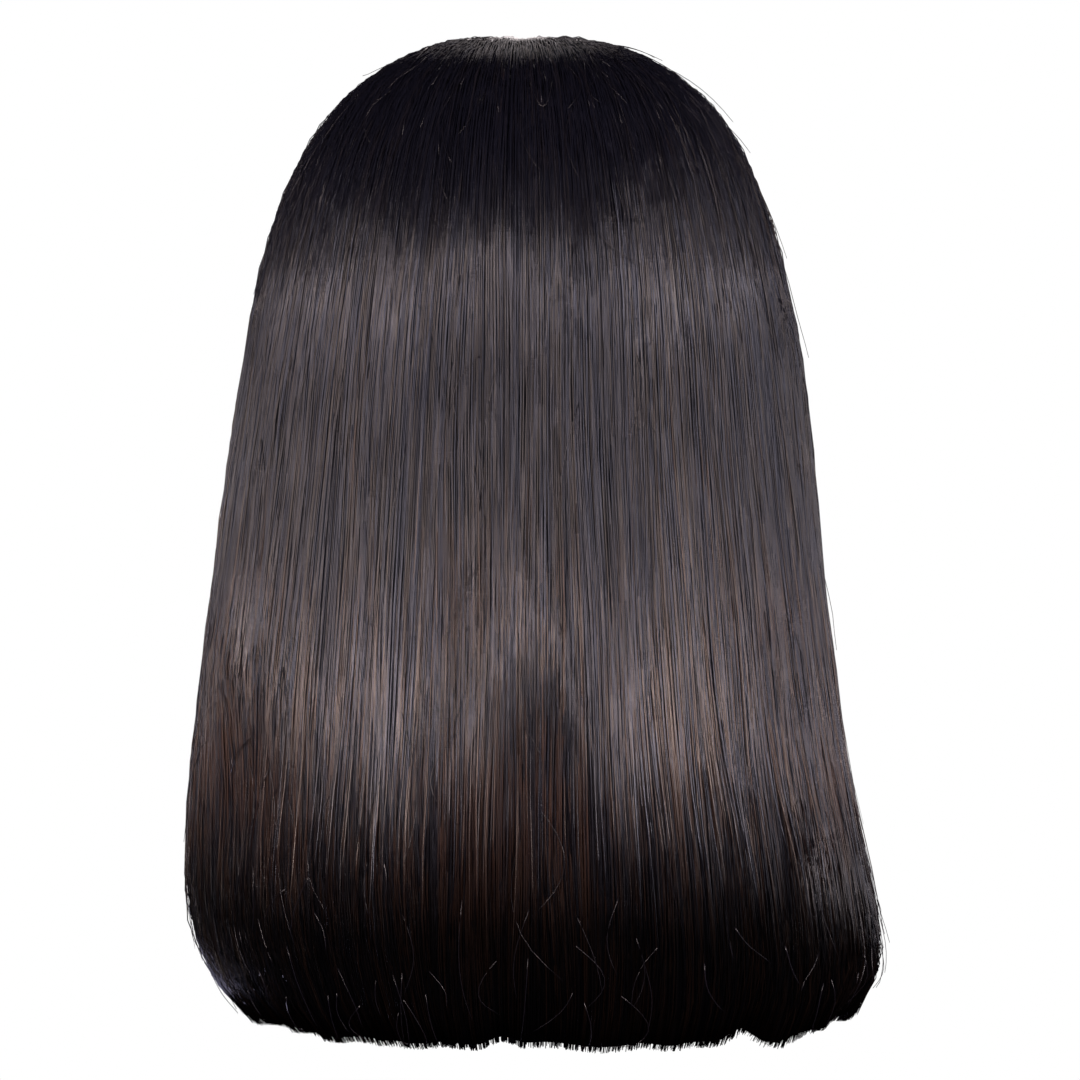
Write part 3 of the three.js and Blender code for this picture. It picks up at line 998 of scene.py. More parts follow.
@dataclass
class StrandLayer:
    """A layer of strands over one stretch of the wig, worked out all at once.

    The shares say how many strands start at the parting, end short of the hem, stray off the hair
    near it, or are restless over the dome. The sinks say how deep the roots start in the layer.
    """

    form: HairForm
    seed: int
    count: int
    first_side: float
    last_side: float
    steps: int = 16
    width: float = 0.6 * MM
    height: float = 0.42 * MM
    depth: float = 1.6 * MM
    start_row: float = 0.0
    inner: bool = False
    parting_share: float = 0.4
    root_rows: float = 5.5
    short_share: float = 0.07
    short_rows: float = 2.2
    past_hem: float = 0.24
    stray_share: float = 0.07
    stray_lift: float = 5.5 * MM
    restless_share: float = 0.12
    restless_lift: float = 0.8 * MM
    wave_height: float = 0.45 * MM
    arch_height: float = 1.2 * MM
    parting_sink: float = 1.9 * MM
    root_sink: float = 1.5 * MM

    def rows(self, rng: np.random.Generator) -> tuple[np.ndarray, np.ndarray, np.ndarray]:
        """Chooses each strand's levels from root to tip.

        Four in ten start at the parting and the rest at a random place down the dome; most end
        within a millimetre of the hem, one in fifteen well above it, and the strays above that.

        Args:
            rng: the source of chance.

        Returns:
            The levels, strands by steps, whether each strand starts at the parting, and whether it
            strays.
        """
        n = self.count
        starts = self.start_row + rng.uniform(0, 1, n) ** 1.5 * self.root_rows
        from_parting = rng.uniform(0, 1, n) < self.parting_share
        starts = np.where(from_parting, self.start_row, starts)
        short = (rng.uniform(0, 1, n) < self.short_share) * rng.uniform(0.2, self.short_rows, n)
        ends = LAST_ROW + self.past_hem - np.abs(rng.normal(0, 0.07, n)) - short
        stray = rng.uniform(0, 1, n) < (0 if self.inner else self.stray_share)
        ends = np.where(stray, HEM_ROW + rng.uniform(0, self.short_rows, n), ends)
        place, level = strand_stops(self.form, self.start_row)
        level = level + 0.3 * place
        first, last = np.interp(starts, level, place), np.interp(ends, level, place)
        share = np.linspace(0, 1, self.steps)[None] ** rng.uniform(0.95, 1.3, (n, 1))
        return np.interp(mix(first[:, None], last[:, None], share), place, level), from_parting, stray

    def wander(self, rng: np.random.Generator, own: np.ndarray, row: np.ndarray) -> np.ndarray:
        """Moves each strand a little sideways and draws it to the middle of its wisp near the hem.

        Args:
            rng: the source of chance.
            own: each strand's own place round the wig, strands by 1.
            row: the levels.

        Returns:
            The strands' places round the wig at each step.
        """
        n, drop = self.count, self.form.level(row)[0]
        pitch = 2 / self.form.lock_count / 4
        wisp = (np.floor((own + 1) / pitch) + 0.5) * pitch - 1
        lane = smooth_noise(22, own / pitch * 0.35, drop * 5)
        phase, waves = rng.uniform(0, 2 * np.pi, (n, 1)), rng.uniform(0.6, 2.2, (n, 1))
        stray = rng.normal(0, 1, (n, 1)) * np.sin(phase + np.pi * waves * drop)
        side = own + pitch * (0.45 * lane + 0.22 * stray * ease(0, 0.3, drop))
        side = side + (wisp - own) * 0.35 * ease(0.7, 1, drop)
        low, high = sorted((self.first_side, self.last_side))
        return np.clip(side, low, high)

    def build(self) -> tuple[np.ndarray, np.ndarray, np.ndarray]:
        """Works out the strands.

        Each rises from the lace or from under the layer, keeps its own depth in it with a slow wave
        of its own, and spreads through the layer's thickness towards the hem. A stray doesn't turn
        in with the rest, so it stands a few millimetres off the hair where it ends.

        Returns:
            Vertex positions, triangles, and each vertex's colour draw and share of the drop.
        """
        form, rng, n = self.form, np.random.default_rng(self.seed), self.count
        own = mix(self.first_side, self.last_side, (np.arange(n) + rng.uniform(0, 1, n)) / n)
        row, from_parting, stray = self.rows(rng)
        side = self.wander(rng, own[:, None], row)
        drop = form.level(row)[0]
        share = np.linspace(0, 1, self.steps)[None]
        layer = rng.beta(1.2, 1.8, (n, 1))
        ray = form.ray(side, row)
        phase, waves = rng.uniform(0, 2 * np.pi, (n, 1)), rng.uniform(7, 11, (n, 1))
        wave = self.wave_height * np.sin(phase + waves * np.pi * drop) * ease(0.1, 0.3, drop)
        if self.inner:
            distance = ray["inside"] + layer * self.depth * 0.6 + wave
        else:
            thick = ray["outside"] - ray["inside"]
            spread = rng.uniform(0, 1, (n, 1)) ** 2 * ease(HEM_ROW + 1, LAST_ROW, row)
            spread = spread * np.maximum(0, thick - self.depth)
            sunk = np.where(from_parting, self.parting_sink, self.root_sink)[:, None]
            pressed = mix(0.55, 1, ease(0, 1.5, row))
            sunk = sunk * (1 - ease(0, 0.05, share)) + self.depth * layer * pressed + spread
            rough = rng.uniform(-0.3, 1, (n, 1)) ** 3 * self.arch_height * from_parting[:, None]
            arch = rough * np.sin(np.pi * np.clip(share / rng.uniform(0.05, 0.16, (n, 1)), 0, 1))
            held = rng.uniform(0.5, 1.2, (n, 1)) * self.stray_lift * stray[:, None]
            held = held * ease(0.68, 0.92, drop) * mix(1, 0.4, ease(0.3, 0.42, np.abs(side)))
            restless = (rng.uniform(0, 1, (n, 1)) < self.restless_share) * self.restless_lift
            dome = ease(0.02, 0.08, drop) * (1 - ease(0.18, 0.32, drop))
            held = held + restless * (1 + np.sin(phase * 2 + 40 * drop)) * dome
            distance = ray["outside"] + form.relief(side, row) + wave * 0.8 + arch + held - sunk
            distance = np.maximum(distance, ray["seat"] + 0.5 * MM)
        paths = form.place(ray, distance)
        paths[..., 2] += form.tip_wave(side, row)
        taper = mix(0.6, 1, ease(0, 0.08, share)) * mix(1, 0.5, ease(0.92, 1, share))
        size = rng.uniform(0.55, 1.25, (n, 1)) * taper
        points, faces = tubes(paths, ray["out"], self.width * size, self.height * size)
        draw = np.broadcast_to(rng.beta(1.6, 2.2, (n, 1)), row.shape)
        uv = np.stack([draw, drop], -1)
        return points, faces, np.repeat(uv.reshape(-1, 2), 3, axis=0)


@dataclass(frozen=True)
class Stroke:
    """A loose hair seen on the back of the wig: where it starts and ends, in millimetres across and
    up, how far it bows sideways, and how far it stands off the hair below it."""

    start: tuple[float, float]
    end: tuple[float, float]
    bow: float = 0.0
    lift: float = 1.2


STROKES = (
    Stroke((-2.5, -19), (-10.5, -19), 0.0, 0.8),
    Stroke((-27, -42), (-31, -71), 0.5, 1.2),
    Stroke((30, -65), (27, -80), 0.4, 1.0),
    Stroke((-26, -74), (-41, -84), 2.0, 1.6),
    Stroke((72, -290), (78, -310), 1.5, 2.5),
    Stroke((71, -302), (66, -315), -1.5, 2.5),
    Stroke((82, -296), (90, -307), 3.0, 2.5),
    Stroke((51, -284), (50, -302), 1.5, 2.2),
    Stroke((45, -284), (44, -296), -0.8, 2.0),
    Stroke((88, -255), (103, -285), -2.0, 2.5),
    Stroke((97, -243), (108, -258), 1.5, 2.0),
    Stroke((-72, -308), (-84, -321), 1.5, 2.5),
    Stroke((-69, -303), (-71, -319), 0.6, 2.2),
    Stroke((-62, -320), (-69, -338), 3.0, 2.0),
    Stroke((-90, -316), (-95, -330), 1.0, 2.2),
    Stroke((-92, -90), (-104, -130), 2.0, 1.8),
)


@dataclass
class LooseHairs:
    """Loose hairs that lie over a fall and catch the light, some random and some as photographed."""

    form: HairForm
    node: str
    first_side: float
    last_side: float
    count: int
    seed: int
    strokes: tuple[Stroke, ...] = ()
    steps: int = 9
    above_hem: float = 1.2
    start_rows: float = 11.3
    full_length: float = 420 * MM

    def nearest(self, spot: tuple[float, float]) -> tuple[float, float]:
        """Finds the place and level on the back of the wig that lie nearest to a spot.

        Args:
            spot: millimetres across and up.

        Returns:
            The place round the wig and the level.
        """
        side, row = np.meshgrid(np.linspace(-0.48, 0.48, 385), np.linspace(1, LAST_ROW, 261))
        points = self.form.outline(side, row)
        far = np.hypot(points[..., 0] - spot[0] * MM, points[..., 2] - spot[1] * MM)
        best = np.unravel_index(np.argmin(far), far.shape)
        return float(side[best]), float(row[best])

    def build(self, material: bpy.types.Material) -> None:
        """Makes and dresses the loose hairs.

        A random one runs down from its start for 15 to 60 mm and leaves the hair towards its tip.

        Args:
            material: the hair's material.
        """
        rng, n = np.random.default_rng(self.seed), self.count
        share = np.linspace(0, 1, self.steps)[None]
        side = rng.uniform(self.first_side, self.last_side, (n, 1))
        row = LAST_ROW - self.above_hem - rng.uniform(0, 1, (n, 1)) ** 1.2 * self.start_rows
        length = rng.uniform(15, 60, (n, 1)) * MM
        bow = rng.normal(0, 0.012, (n, 1)) * np.sin(np.pi * share)
        sides = side + rng.normal(0, 0.012, (n, 1)) * share + bow
        place, level = strand_stops(self.form, 0)
        along = np.interp(row, level, place) + length / self.full_length * share
        rows = np.interp(along, place, level)
        lift = rng.uniform(0.8, 3.2, (n, 1)) * MM * share
        for stroke in self.strokes:
            (side0, row0), (side1, row1) = self.nearest(stroke.start), self.nearest(stroke.end)
            across = mix(side0, side1, share)
            curl = np.sin(np.pi * share)
            # A level stroke sags by half a row. A steep one bows by its own millimetres, each of
            # which is 0.0027 of a half turn.
            steep = abs(stroke.end[1] - stroke.start[1]) > 2
            sag, bow = (0, stroke.bow * 0.0027) if steep else (0.5, 0)
            rows = np.vstack([rows, mix(row0, row1, share) + sag * curl])
            sides = np.vstack([sides, across + bow * curl])
            lift = np.vstack([lift, stroke.lift * MM * np.sqrt(share + 0.05)])
        ray = self.form.ray(sides, rows)
        distance = ray["outside"] + self.form.relief(sides, rows) + lift
        paths = self.form.place(ray, distance)
        bold = np.where(np.arange(len(rows)) < n, 1.0, 1.5)[:, None]
        size = mix(0.38, 0.22, share) * bold * MM
        points, faces = tubes(paths, ray["out"], size, size)
        uv = np.broadcast_to(np.array([0.5, 0.5]), (len(points), 2))
        dress(add_mesh(f"{self.node}_loose_hairs", points, faces, uv), material, self.node)


@dataclass
class HairFall:
    """One outer fall of hair: a backing in locks, the strands that show, and those inside.

    Its first and last lock are counted from the right front edge. The backing stops short of both by
    edge_gap, in half turns, and the strands are split into pieces of at most per_piece.
    """

    form: HairForm
    node: str
    first_lock: int
    last_lock: int
    strands: int
    inner_strands: int
    seed: int
    columns_per_lock: int = 6
    rows: int = 36
    sunk: float = 1.5 * MM
    root_sink: float = 2.2 * MM
    edge_gap: float = 0.0006
    per_piece: int = 1900
    loose: int = 30
    strokes: tuple[Stroke, ...] = ()

    def side(self, lock: float) -> float:
        """Gives the place round the wig of a lock's edge."""
        return lock * 2 / self.form.lock_count - 1

    def backing(self) -> bpy.types.Object:
        """Makes the closed backing: the hair's two sides with the outer one sunk under the strands,
        ending in a wedge above the hem.

        Returns:
            The backing.
        """
        form = self.form
        count = (self.last_lock - self.first_lock) * self.columns_per_lock + 1
        first, end = self.side(self.first_lock) + self.edge_gap, self.side(self.last_lock) - self.edge_gap
        side = np.linspace(first, end, count)
        last = LAST_ROW + 0.02
        row = row_stops(form, 0, last, self.rows)
        side, row = np.meshgrid(side, row)
        ray = form.ray(side, row)
        thick = ray["outside"] - ray["inside"]
        wedge = ease(HEM_ROW + 1, last, row) * thick * 0.3
        flute = 0.25 * MM * smooth_noise(31, (side + 1) * form.lock_count * 4, row * 0.4)
        rooted = (1 - ease(0, 2, row)) * self.root_sink
        outer = ray["outside"] + form.relief(side, row) + flute - self.sunk - wedge * 0.4 - rooted
        outer = np.maximum(outer, ray["seat"] + 0.1 * MM)
        inner = np.minimum(ray["inside"] + wedge - 0.5 * flute, outer - 0.25 * MM)
        outer_points, inner_points = form.place(ray, outer), form.place(ray, inner)
        outer_points[..., 2] += form.tip_wave(side, row)
        inner_points[..., 2] += form.tip_wave(side, row)
        points, faces = sheet_between(outer_points, inner_points, False)
        draw = 0.3 + 0.3 * smooth_noise(32, (side + 1) * form.lock_count * 4, row * 0.2)
        uv = np.stack([draw, form.level(row)[0]], -1).reshape(-1, 2)
        return add_mesh(f"{self.node}_backing", points, faces, np.concatenate([uv, uv]))

    def build(self, material: bpy.types.Material) -> None:
        """Makes and dresses the fall's pieces.

        Args:
            material: the hair's material.
        """
        dress(self.backing(), material, self.node)
        first, last = self.side(self.first_lock), self.side(self.last_lock)
        parts = max(1, math.ceil(self.strands / self.per_piece))
        for part in range(parts):
            layer = StrandLayer(self.form, self.seed + part, self.strands // parts, first, last)
            piece = add_mesh(f"{self.node}_strands_{part + 1}", *layer.build())
            dress(piece, material, self.node)
        loose = LooseHairs(self.form, self.node, first, last, self.loose, self.seed + 90, self.strokes)
        loose.build(material)
        if self.inner_strands:
            layer = StrandLayer(
                self.form,
                self.seed + 50,
                self.inner_strands,
                first,
                last,
                steps=10,
                start_row=SEATED_ROW - 0.5,
                inner=True,
            )
            piece = add_mesh(f"{self.node}_lining_strands", *layer.build())
            dress(piece, material, self.node)


@dataclass
class UnderLayer:
    """The inner layer of hair that hangs from the cap's lowest rows, from ear to ear."""

    form: HairForm
    node: str = "under_hair"
    reach: float = 0.46
    strands: int = 1300
    steps: int = 11
    wisp_pitch: float = 0.0152
    seed: int = 300

    def surfaces(self, side: np.ndarray, row: np.ndarray) -> tuple[dict, np.ndarray, np.ndarray]:
        """Finds the layer on each strand's ray.

        Args:
            side: the place round the wig.
            row: the level.

        Returns:
            The rays, and the distances of the layer's outside and inside.
        """
        ray = self.form.ray(side, row)
        outer = ray["inside"] - self.form.under_gap
        inner = np.maximum(ray["seat"], outer - self.form.under_layer)
        return ray, outer, inner

    def backing(self) -> bpy.types.Object:
        """Makes the layer's closed backing, inside its strands.

        Returns:
            The backing.
        """
        side = np.linspace(-self.reach, self.reach, 121)
        row = row_stops(self.form, SEATED_ROW, LAST_ROW - 0.5, 26)
        side, row = np.meshgrid(side, row)
        ray, outer, inner = self.surfaces(side, row)
        wedge = ease(HEM_ROW, LAST_ROW - 0.5, row) * (outer - inner) * 0.4
        inset = 0.9 * MM * ease(SEATED_ROW, SEATED_ROW + 1, row)
        outer = outer - wedge - inset * 0.3
        inner = np.minimum(inner + inset + wedge, outer - 0.3 * MM)
        lift = np.zeros((*row.shape, 3))
        lift[..., 2] = self.form.under_lift * ease(HEM_ROW, LAST_ROW, row)
        place = self.form.place
        points, faces = sheet_between(place(ray, outer) + lift, place(ray, inner) + lift, False)
        draw = 0.25 + 0.25 * smooth_noise(33, (side + 1) * 180, row * 0.2)
        uv = np.stack([draw, self.form.level(row)[0]], -1).reshape(-1, 2)
        return add_mesh(f"{self.node}_backing", points, faces, np.concatenate([uv, uv]))

    def strands_mesh(self) -> bpy.types.Object:
        """Makes the strands, most of them on the side towards the neck, which shows from the front.

        Returns:
            The strands.
        """
        form, rng, n = self.form, np.random.default_rng(self.seed), self.strands
        own = mix(-self.reach, self.reach, (np.arange(n) + rng.uniform(0, 1, n)) / n)[:, None]
        ends = LAST_ROW - np.abs(rng.normal(0, 0.25, (n, 1)))
        share = np.linspace(0, 1, self.steps)[None]
        even = row_stops(form, SEATED_ROW + 0.1, LAST_ROW, 64)
        full = 1 - (LAST_ROW - ends) / (LAST_ROW - SEATED_ROW)
        row = np.interp(share * full, np.linspace(0, 1, len(even)), even)
        drop = form.level(row)[0]
        pitch = self.wisp_pitch
        wisp = (np.floor(own / pitch) + 0.5) * pitch
        sway = rng.normal(0, 0.0022, (n, 1)) * np.sin(np.pi * share * rng.uniform(0.6, 1.8, (n, 1)))
        side = own + (wisp - own) * 0.2 * ease(0.75, 1, drop) + sway
        side = np.clip(side, -self.reach, self.reach)
        ray, outer, inner = self.surfaces(side, row)
        swell = 0.2 * MM * smooth_noise(34, side / pitch * 1.7, drop * 7)
        deep = rng.uniform(0, 1, (n, 1)) ** 2.2
        distance = mix(inner + 0.3 * MM, outer - 0.3 * MM, deep * ease(SEATED_ROW, SEATED_ROW + 2, row))
        distance = distance + swell * ease(SEATED_ROW, SEATED_ROW + 1, row)
        paths = form.place(ray, np.clip(distance, inner + 0.1 * MM, outer - 0.1 * MM))
        paths[..., 2] += form.under_lift * ease(HEM_ROW, LAST_ROW, row)
        size = rng.uniform(0.6, 1.3, (n, 1)) * mix(1, 0.3, ease(0.88, 1, share))
        points, faces = tubes(paths, -ray["out"], 0.7 * MM * size, 0.45 * MM * size)
        draw = np.broadcast_to(rng.beta(1.6, 2.2, (n, 1)), row.shape)
        uv = np.stack([draw, drop], -1)
        return add_mesh(f"{self.node}_strands", points, faces, np.repeat(uv.reshape(-1, 2), 3, axis=0))

    def build(self, material: bpy.types.Material) -> None:
        """Makes and dresses the under layer in the hair's material."""
        dress(self.backing(), material, self.node)
        dress(self.strands_mesh(), material, self.node)


@dataclass(frozen=True)
class Section:
    """A strip's section on the cap: its middle's lift off the head, its width, its height and how
    many corners it has."""

    lift: float
    width: float
    height: float
    corners: int


@dataclass
class NetCap:
    """The stretch net behind the crown seam, with the sewn hair tracks that show inside it."""

    cap: CapForm
    node: str = "net_cap"
    net_out: float = 1.4 * MM
    net_in: float = 0.8 * MM
    map_radius: float = 85 * MM
    track_pitch: float = 13 * MM
    first_track: float = 9 * MM
    tracks: int = 12
    track_stops: int = 90
    stitch_stops: int = 260
    stitch_reach: float = 1.1 * MM
    edge_stops: int = 160
    track: Section = Section(0.55 * MM, 2.6 * MM, 0.7 * MM, 6)
    stitch: Section = Section(0.2 * MM, 0.35 * MM, 0.3 * MM, 3)
    bound_edge: Section = Section(0.8 * MM, 4 * MM, 1.5 * MM, 8)
    seam: Section = Section(0.7 * MM, 3 * MM, 1.2 * MM, 8)

    def reach(self) -> float:
        """Finds the turn at which the seam comes down to the cap's edge by the ear."""
        turn = np.linspace(0, 120, 961)
        return float(turn[self.cap.seam_share(turn) < 0.985].max())

    def net(self) -> bpy.types.Object:
        """Makes the net as a closed wall from the seam down to the edge.

        Returns:
            The net.
        """
        reach = self.reach()
        turn, share = np.meshgrid(np.linspace(-reach, reach, 121), np.linspace(0, 1, 36))
        share = mix(self.cap.seam_share(turn), 1, share)
        outer = self.cap.point(turn, share, self.net_out)
        inner = self.cap.point(turn, share, self.net_in)
        points, faces = sheet_between(outer, inner, False)
        across = np.radians(turn) * self.map_radius
        uv = np.stack([across, share * self.cap.length(turn)], -1).reshape(-1, 2)
        return add_mesh(f"{self.node}_net", points, faces, np.concatenate([uv, uv]))

    def track_lines(self, steps: int) -> tuple[np.ndarray, np.ndarray]:
        """Lays the tracks at an even pitch above the edge, each from seam to seam.

        Args:
            steps: the stops along each track.

        Returns:
            The turn and the share of each stop, tracks by stops.
        """
        reach = self.reach()
        fine = np.linspace(-reach, reach, 400)
        seam, length = self.cap.seam_share(fine), self.cap.length(fine)
        turns, shares = [], []
        for number in range(self.tracks):
            share = 1 - (self.first_track + number * self.track_pitch) / length
            kept = fine[share > seam + 2 * MM / length]
            if len(kept) < 12:
                continue
            turn = np.linspace(kept[0], kept[-1], steps)
            turns.append(turn)
            shares.append(np.interp(turn, fine, share))
        return np.array(turns), np.array(shares)

    def strip(
        self, name: str, turn: np.ndarray, share: np.ndarray, section: Section, thread: bpy.types.Material
    ) -> None:
        """Carries a closed strip along lines on the cap, and dresses it.

        Args:
            name: what the strip is called after the cap's own name.
            turn: the turns of the lines, lines by stops.
            share: their shares of the wall's length, the same shape.
            section: the strip's section.
            thread: its material.
        """
        paths, outward = self.cap.line(turn, share, section.lift)
        full = np.ones(turn.shape)
        points, faces = tubes(paths, outward, section.width * full, section.height * full, section.corners)
        dress(add_mesh(f"{self.node}_{name}", points, faces), thread, self.node)

    def build(self, net: bpy.types.Material, thread: bpy.types.Material) -> None:
        """Makes and dresses the cap's pieces.

        Args:
            net: the material of the net.
            thread: the material of the tracks, the stitches, the bound edge and the seam.
        """
        dress(self.net(), net, self.node)
        turn, share = self.track_lines(self.track_stops)
        self.strip("tracks", turn, share, self.track, thread)
        turn, share = self.track_lines(self.stitch_stops)
        zigzag = self.stitch_reach * np.where(np.arange(self.stitch_stops) % 2 == 0, 1, -1)
        self.strip("stitches", turn, share + zigzag / self.cap.length(turn), self.stitch, thread)
        reach = self.reach()
        turn = np.linspace(-reach, reach, self.edge_stops)[None]
        above = self.bound_edge.width / 2 / self.cap.length(turn)
        self.strip("bound_edge", turn, 1 - above, self.bound_edge, thread)
        turn = np.linspace(-reach + 0.5, reach - 0.5, self.edge_stops)[None]
        self.strip("seam", turn, self.cap.seam_share(turn), self.seam, thread)


@dataclass
class LaceFront:
    """The lace before the crown seam: a fine sheet under the hair, and open lace at the forehead."""

    cap: CapForm
    node: str = "lace_front"
    lift: float = 0.5 * MM
    band: float = 8 * MM
    mesh_side: float = 0.9 * MM
    thread: float = 0.24 * MM
    first_turn: float = 96.0
    half_sheet: float = 0.15 * MM
    map_radius: float = 88 * MM
    short_hairs: int = 420
    hair_steps: int = 6
    hair_seed: int = 410

    def open_height(self, turn: np.ndarray) -> np.ndarray:
        """Gives how high the open lace reaches above the edge: none behind the temples."""
        return self.band * ease(self.first_turn, self.first_turn + 14, np.abs(turn))

    def sheet(self) -> bpy.types.Object:
        """Makes the lace under the hair as a thin closed wall from the crown to the seam and down to
        the open lace, mapped as if rolled out flat from the crown.

        Returns:
            The sheet.
        """
        turn = np.linspace(-180, 180, 181)[:-1]
        turn, share = np.meshgrid(turn, np.linspace(0, 1, 40) ** 0.8)
        length = self.cap.length(turn)
        end = np.minimum(self.cap.seam_share(turn), 1 - self.open_height(turn) / length)
        share = share * end
        outer = self.cap.point(turn, share, self.lift + self.half_sheet)
        inner = self.cap.point(turn, share, self.lift - self.half_sheet)
        points, faces = sheet_between(outer, inner, True)
        angle = np.radians(turn)
        uv = np.stack([np.sin(angle), np.cos(angle)], -1) * (share * length)[..., None]
        uv = uv.reshape(-1, 2)
        return add_mesh(f"{self.node}_sheet", *weld(points, faces, np.concatenate([uv, uv])))

    def open_lace(self) -> bpy.types.Object:
        """Makes the open lace as a honeycomb of threads: each cell has a foot and a head above it,
        and three threads run from each head to its own foot and to the two feet above it.

        Returns:
            The open lace.
        """
        across, up = math.sqrt(3) * self.mesh_side, 1.5 * self.mesh_side
        half = math.radians(180 - self.first_turn) * self.map_radius
        columns = int(half / across) + 8
        column, row = np.meshgrid(np.arange(-columns, columns), np.arange(-1, 9))
        foot = np.stack([column * across + (row % 2) * across / 2, row * up], -1).reshape(-1, 2)
        head = foot + np.array([0, self.mesh_side])
        ends = [foot, foot + np.array([across / 2, up]), foot + np.array([-across / 2, up])]
        start, end = np.concatenate([head] * 3), np.concatenate(ends)
        both = np.stack([start, end], 1)
        turn = 180 + np.degrees(both[..., 0] / self.map_radius)
        turn = np.where(turn > 180, turn - 360, turn)
        fits = (both[..., 1] >= 0) & (both[..., 1] <= self.open_height(turn) + 1.2 * MM)
        fits &= np.abs(turn) > self.first_turn + 1
        both, turn = both[fits.all(1)], turn[fits.all(1)]
        share = 1 - both[..., 1] / self.cap.length(turn)
        paths, outward = self.cap.line(turn, share, self.lift)
        full = np.full(turn.shape, self.thread)
        points, faces = tubes(paths, outward, full, full)
        return add_mesh(f"{self.node}_open_lace", points, faces, np.zeros((len(points), 2)))

    def baby_hair(self) -> bpy.types.Object:
        """Makes the short fine hairs tied along the hairline, swept back and to the sides.

        Returns:
            The short hairs.
        """
        rng, n, steps = np.random.default_rng(self.hair_seed), self.short_hairs, self.hair_steps
        turn = rng.uniform(126, 234, (n, 1))
        away = np.sign(180 - turn) * rng.uniform(0.5, 1.3, (n, 1)) * 7
        share = np.linspace(0, 1, steps)[None]
        turn = turn + away * share + rng.normal(0, 1.2, (n, 1)) * share**2
        turn = np.where(turn > 180, turn - 360, turn)
        start = rng.uniform(3, 8, (n, 1)) * MM
        rise = start + rng.uniform(6, 12, (n, 1)) * MM * share
        lift = self.lift + rng.uniform(0.6, 2.4, (n, 1)) * MM * np.sin(np.pi * share * 0.6)
        place = 1 - rise / self.cap.length(turn)
        paths, outward = self.cap.line(turn, place, lift)
        size = 0.28 * MM * np.broadcast_to(mix(1, 0.4, share), turn.shape)
        points, faces = tubes(paths, outward, size, size)
        uv = np.broadcast_to(rng.uniform(0.3, 0.9, (n, 1, 1)), (n, steps, 2)).reshape(-1, 2)
        return add_mesh(f"{self.node}_baby_hair", points, faces, np.repeat(uv, 3, axis=0))

    def build(
        self, lace: bpy.types.Material, thread: bpy.types.Material, hair: bpy.types.Material
    ) -> None:
        """Makes and dresses the lace's pieces.

        Args:
            lace: the material of the sheet.
            thread: the material of the open lace's threads.
            hair: the hair's material.
        """
        dress(self.sheet(), lace, self.node)
        dress(self.open_lace(), thread, self.node)
        dress(self.baby_hair(), hair, self.node)


@dataclass
class NapeBand:
    """The ribbed elastic band that goes on below the cap's edge round the nape."""

    cap: CapForm
    node: str = "nape_band"
    ribs: int = 10
    stops_per_rib: int = 5
    rib_rise: float = 0.3 * MM
    stitch_pitch: float = 1.6
    stitch_inset: float = 1.9 * MM
    stitch_reach: float = 0.8 * MM
    stitch_size: float = 0.35 * MM

    def ring(self, turn: np.ndarray, below: np.ndarray, lift: np.ndarray) -> np.ndarray:
        """Gives points round the nape.

        Args:
            turn: degrees from the middle of the nape.
            below: the depth below the cap's edge.
            lift: the distance outside the head.

        Returns:
            Positions, with a last axis of 3.
        """
        angle = np.radians(turn)
        high = self.cap.edge(turn) - self.cap.seat_gap - below
        return self.cap.head.outside(np.stack([np.sin(angle), np.cos(angle), high], -1), lift)

    def build(self, elastic: bpy.types.Material) -> None:
        """Makes and dresses the band and its two lines of zigzag stitches.

        Args:
            elastic: the elastic's material.
        """
        sweep = self.cap.band_half_sweep
        below = np.linspace(0, self.cap.band_height, self.ribs * self.stops_per_rib + 1)
        turn, below = np.meshgrid(np.linspace(-sweep, sweep, 90), below)
        rib = self.rib_rise * np.abs(np.sin(np.pi * self.ribs * below / self.cap.band_height)) ** 0.6
        outer = self.ring(turn, below, self.cap.wall - 0.35 * MM + rib)
        inner = self.ring(turn, below, 0.3 * MM - rib * 0.9)
        points, faces = sheet_between(outer, inner, False)
        dress(add_mesh(f"{self.node}_elastic", points, faces), elastic, self.node)
        turn = np.arange(-sweep + 1, sweep - 1, self.stitch_pitch)
        zig = self.stitch_reach * np.where(np.arange(len(turn)) % 2 == 0, 1, -1)
        lines = []
        for lift in (self.cap.wall - 0.05 * MM, 0.08 * MM):
            for middle in (self.stitch_inset, self.cap.band_height - self.stitch_inset):
                lines.append(self.ring(turn, middle + zig, np.full(turn.shape, lift)))
        paths = np.array(lines)
        outward = unit(paths * np.array([1, 1, 0]))
        size = np.full(paths.shape[:2], self.stitch_size)
        points, faces = tubes(paths, outward, size, size)
        dress(add_mesh(f"{self.node}_stitches", points, faces), elastic, self.node)


@dataclass(frozen=True)
class Panel:
    """A soft upright light round the wig: its turn and width in degrees from the wearer's face, the
    lowest and highest angles at which the wig sees it, its brightness and its colour."""

    turn: float
    sweep: float
    low: float
    high: float
    bright: float
    colour: str


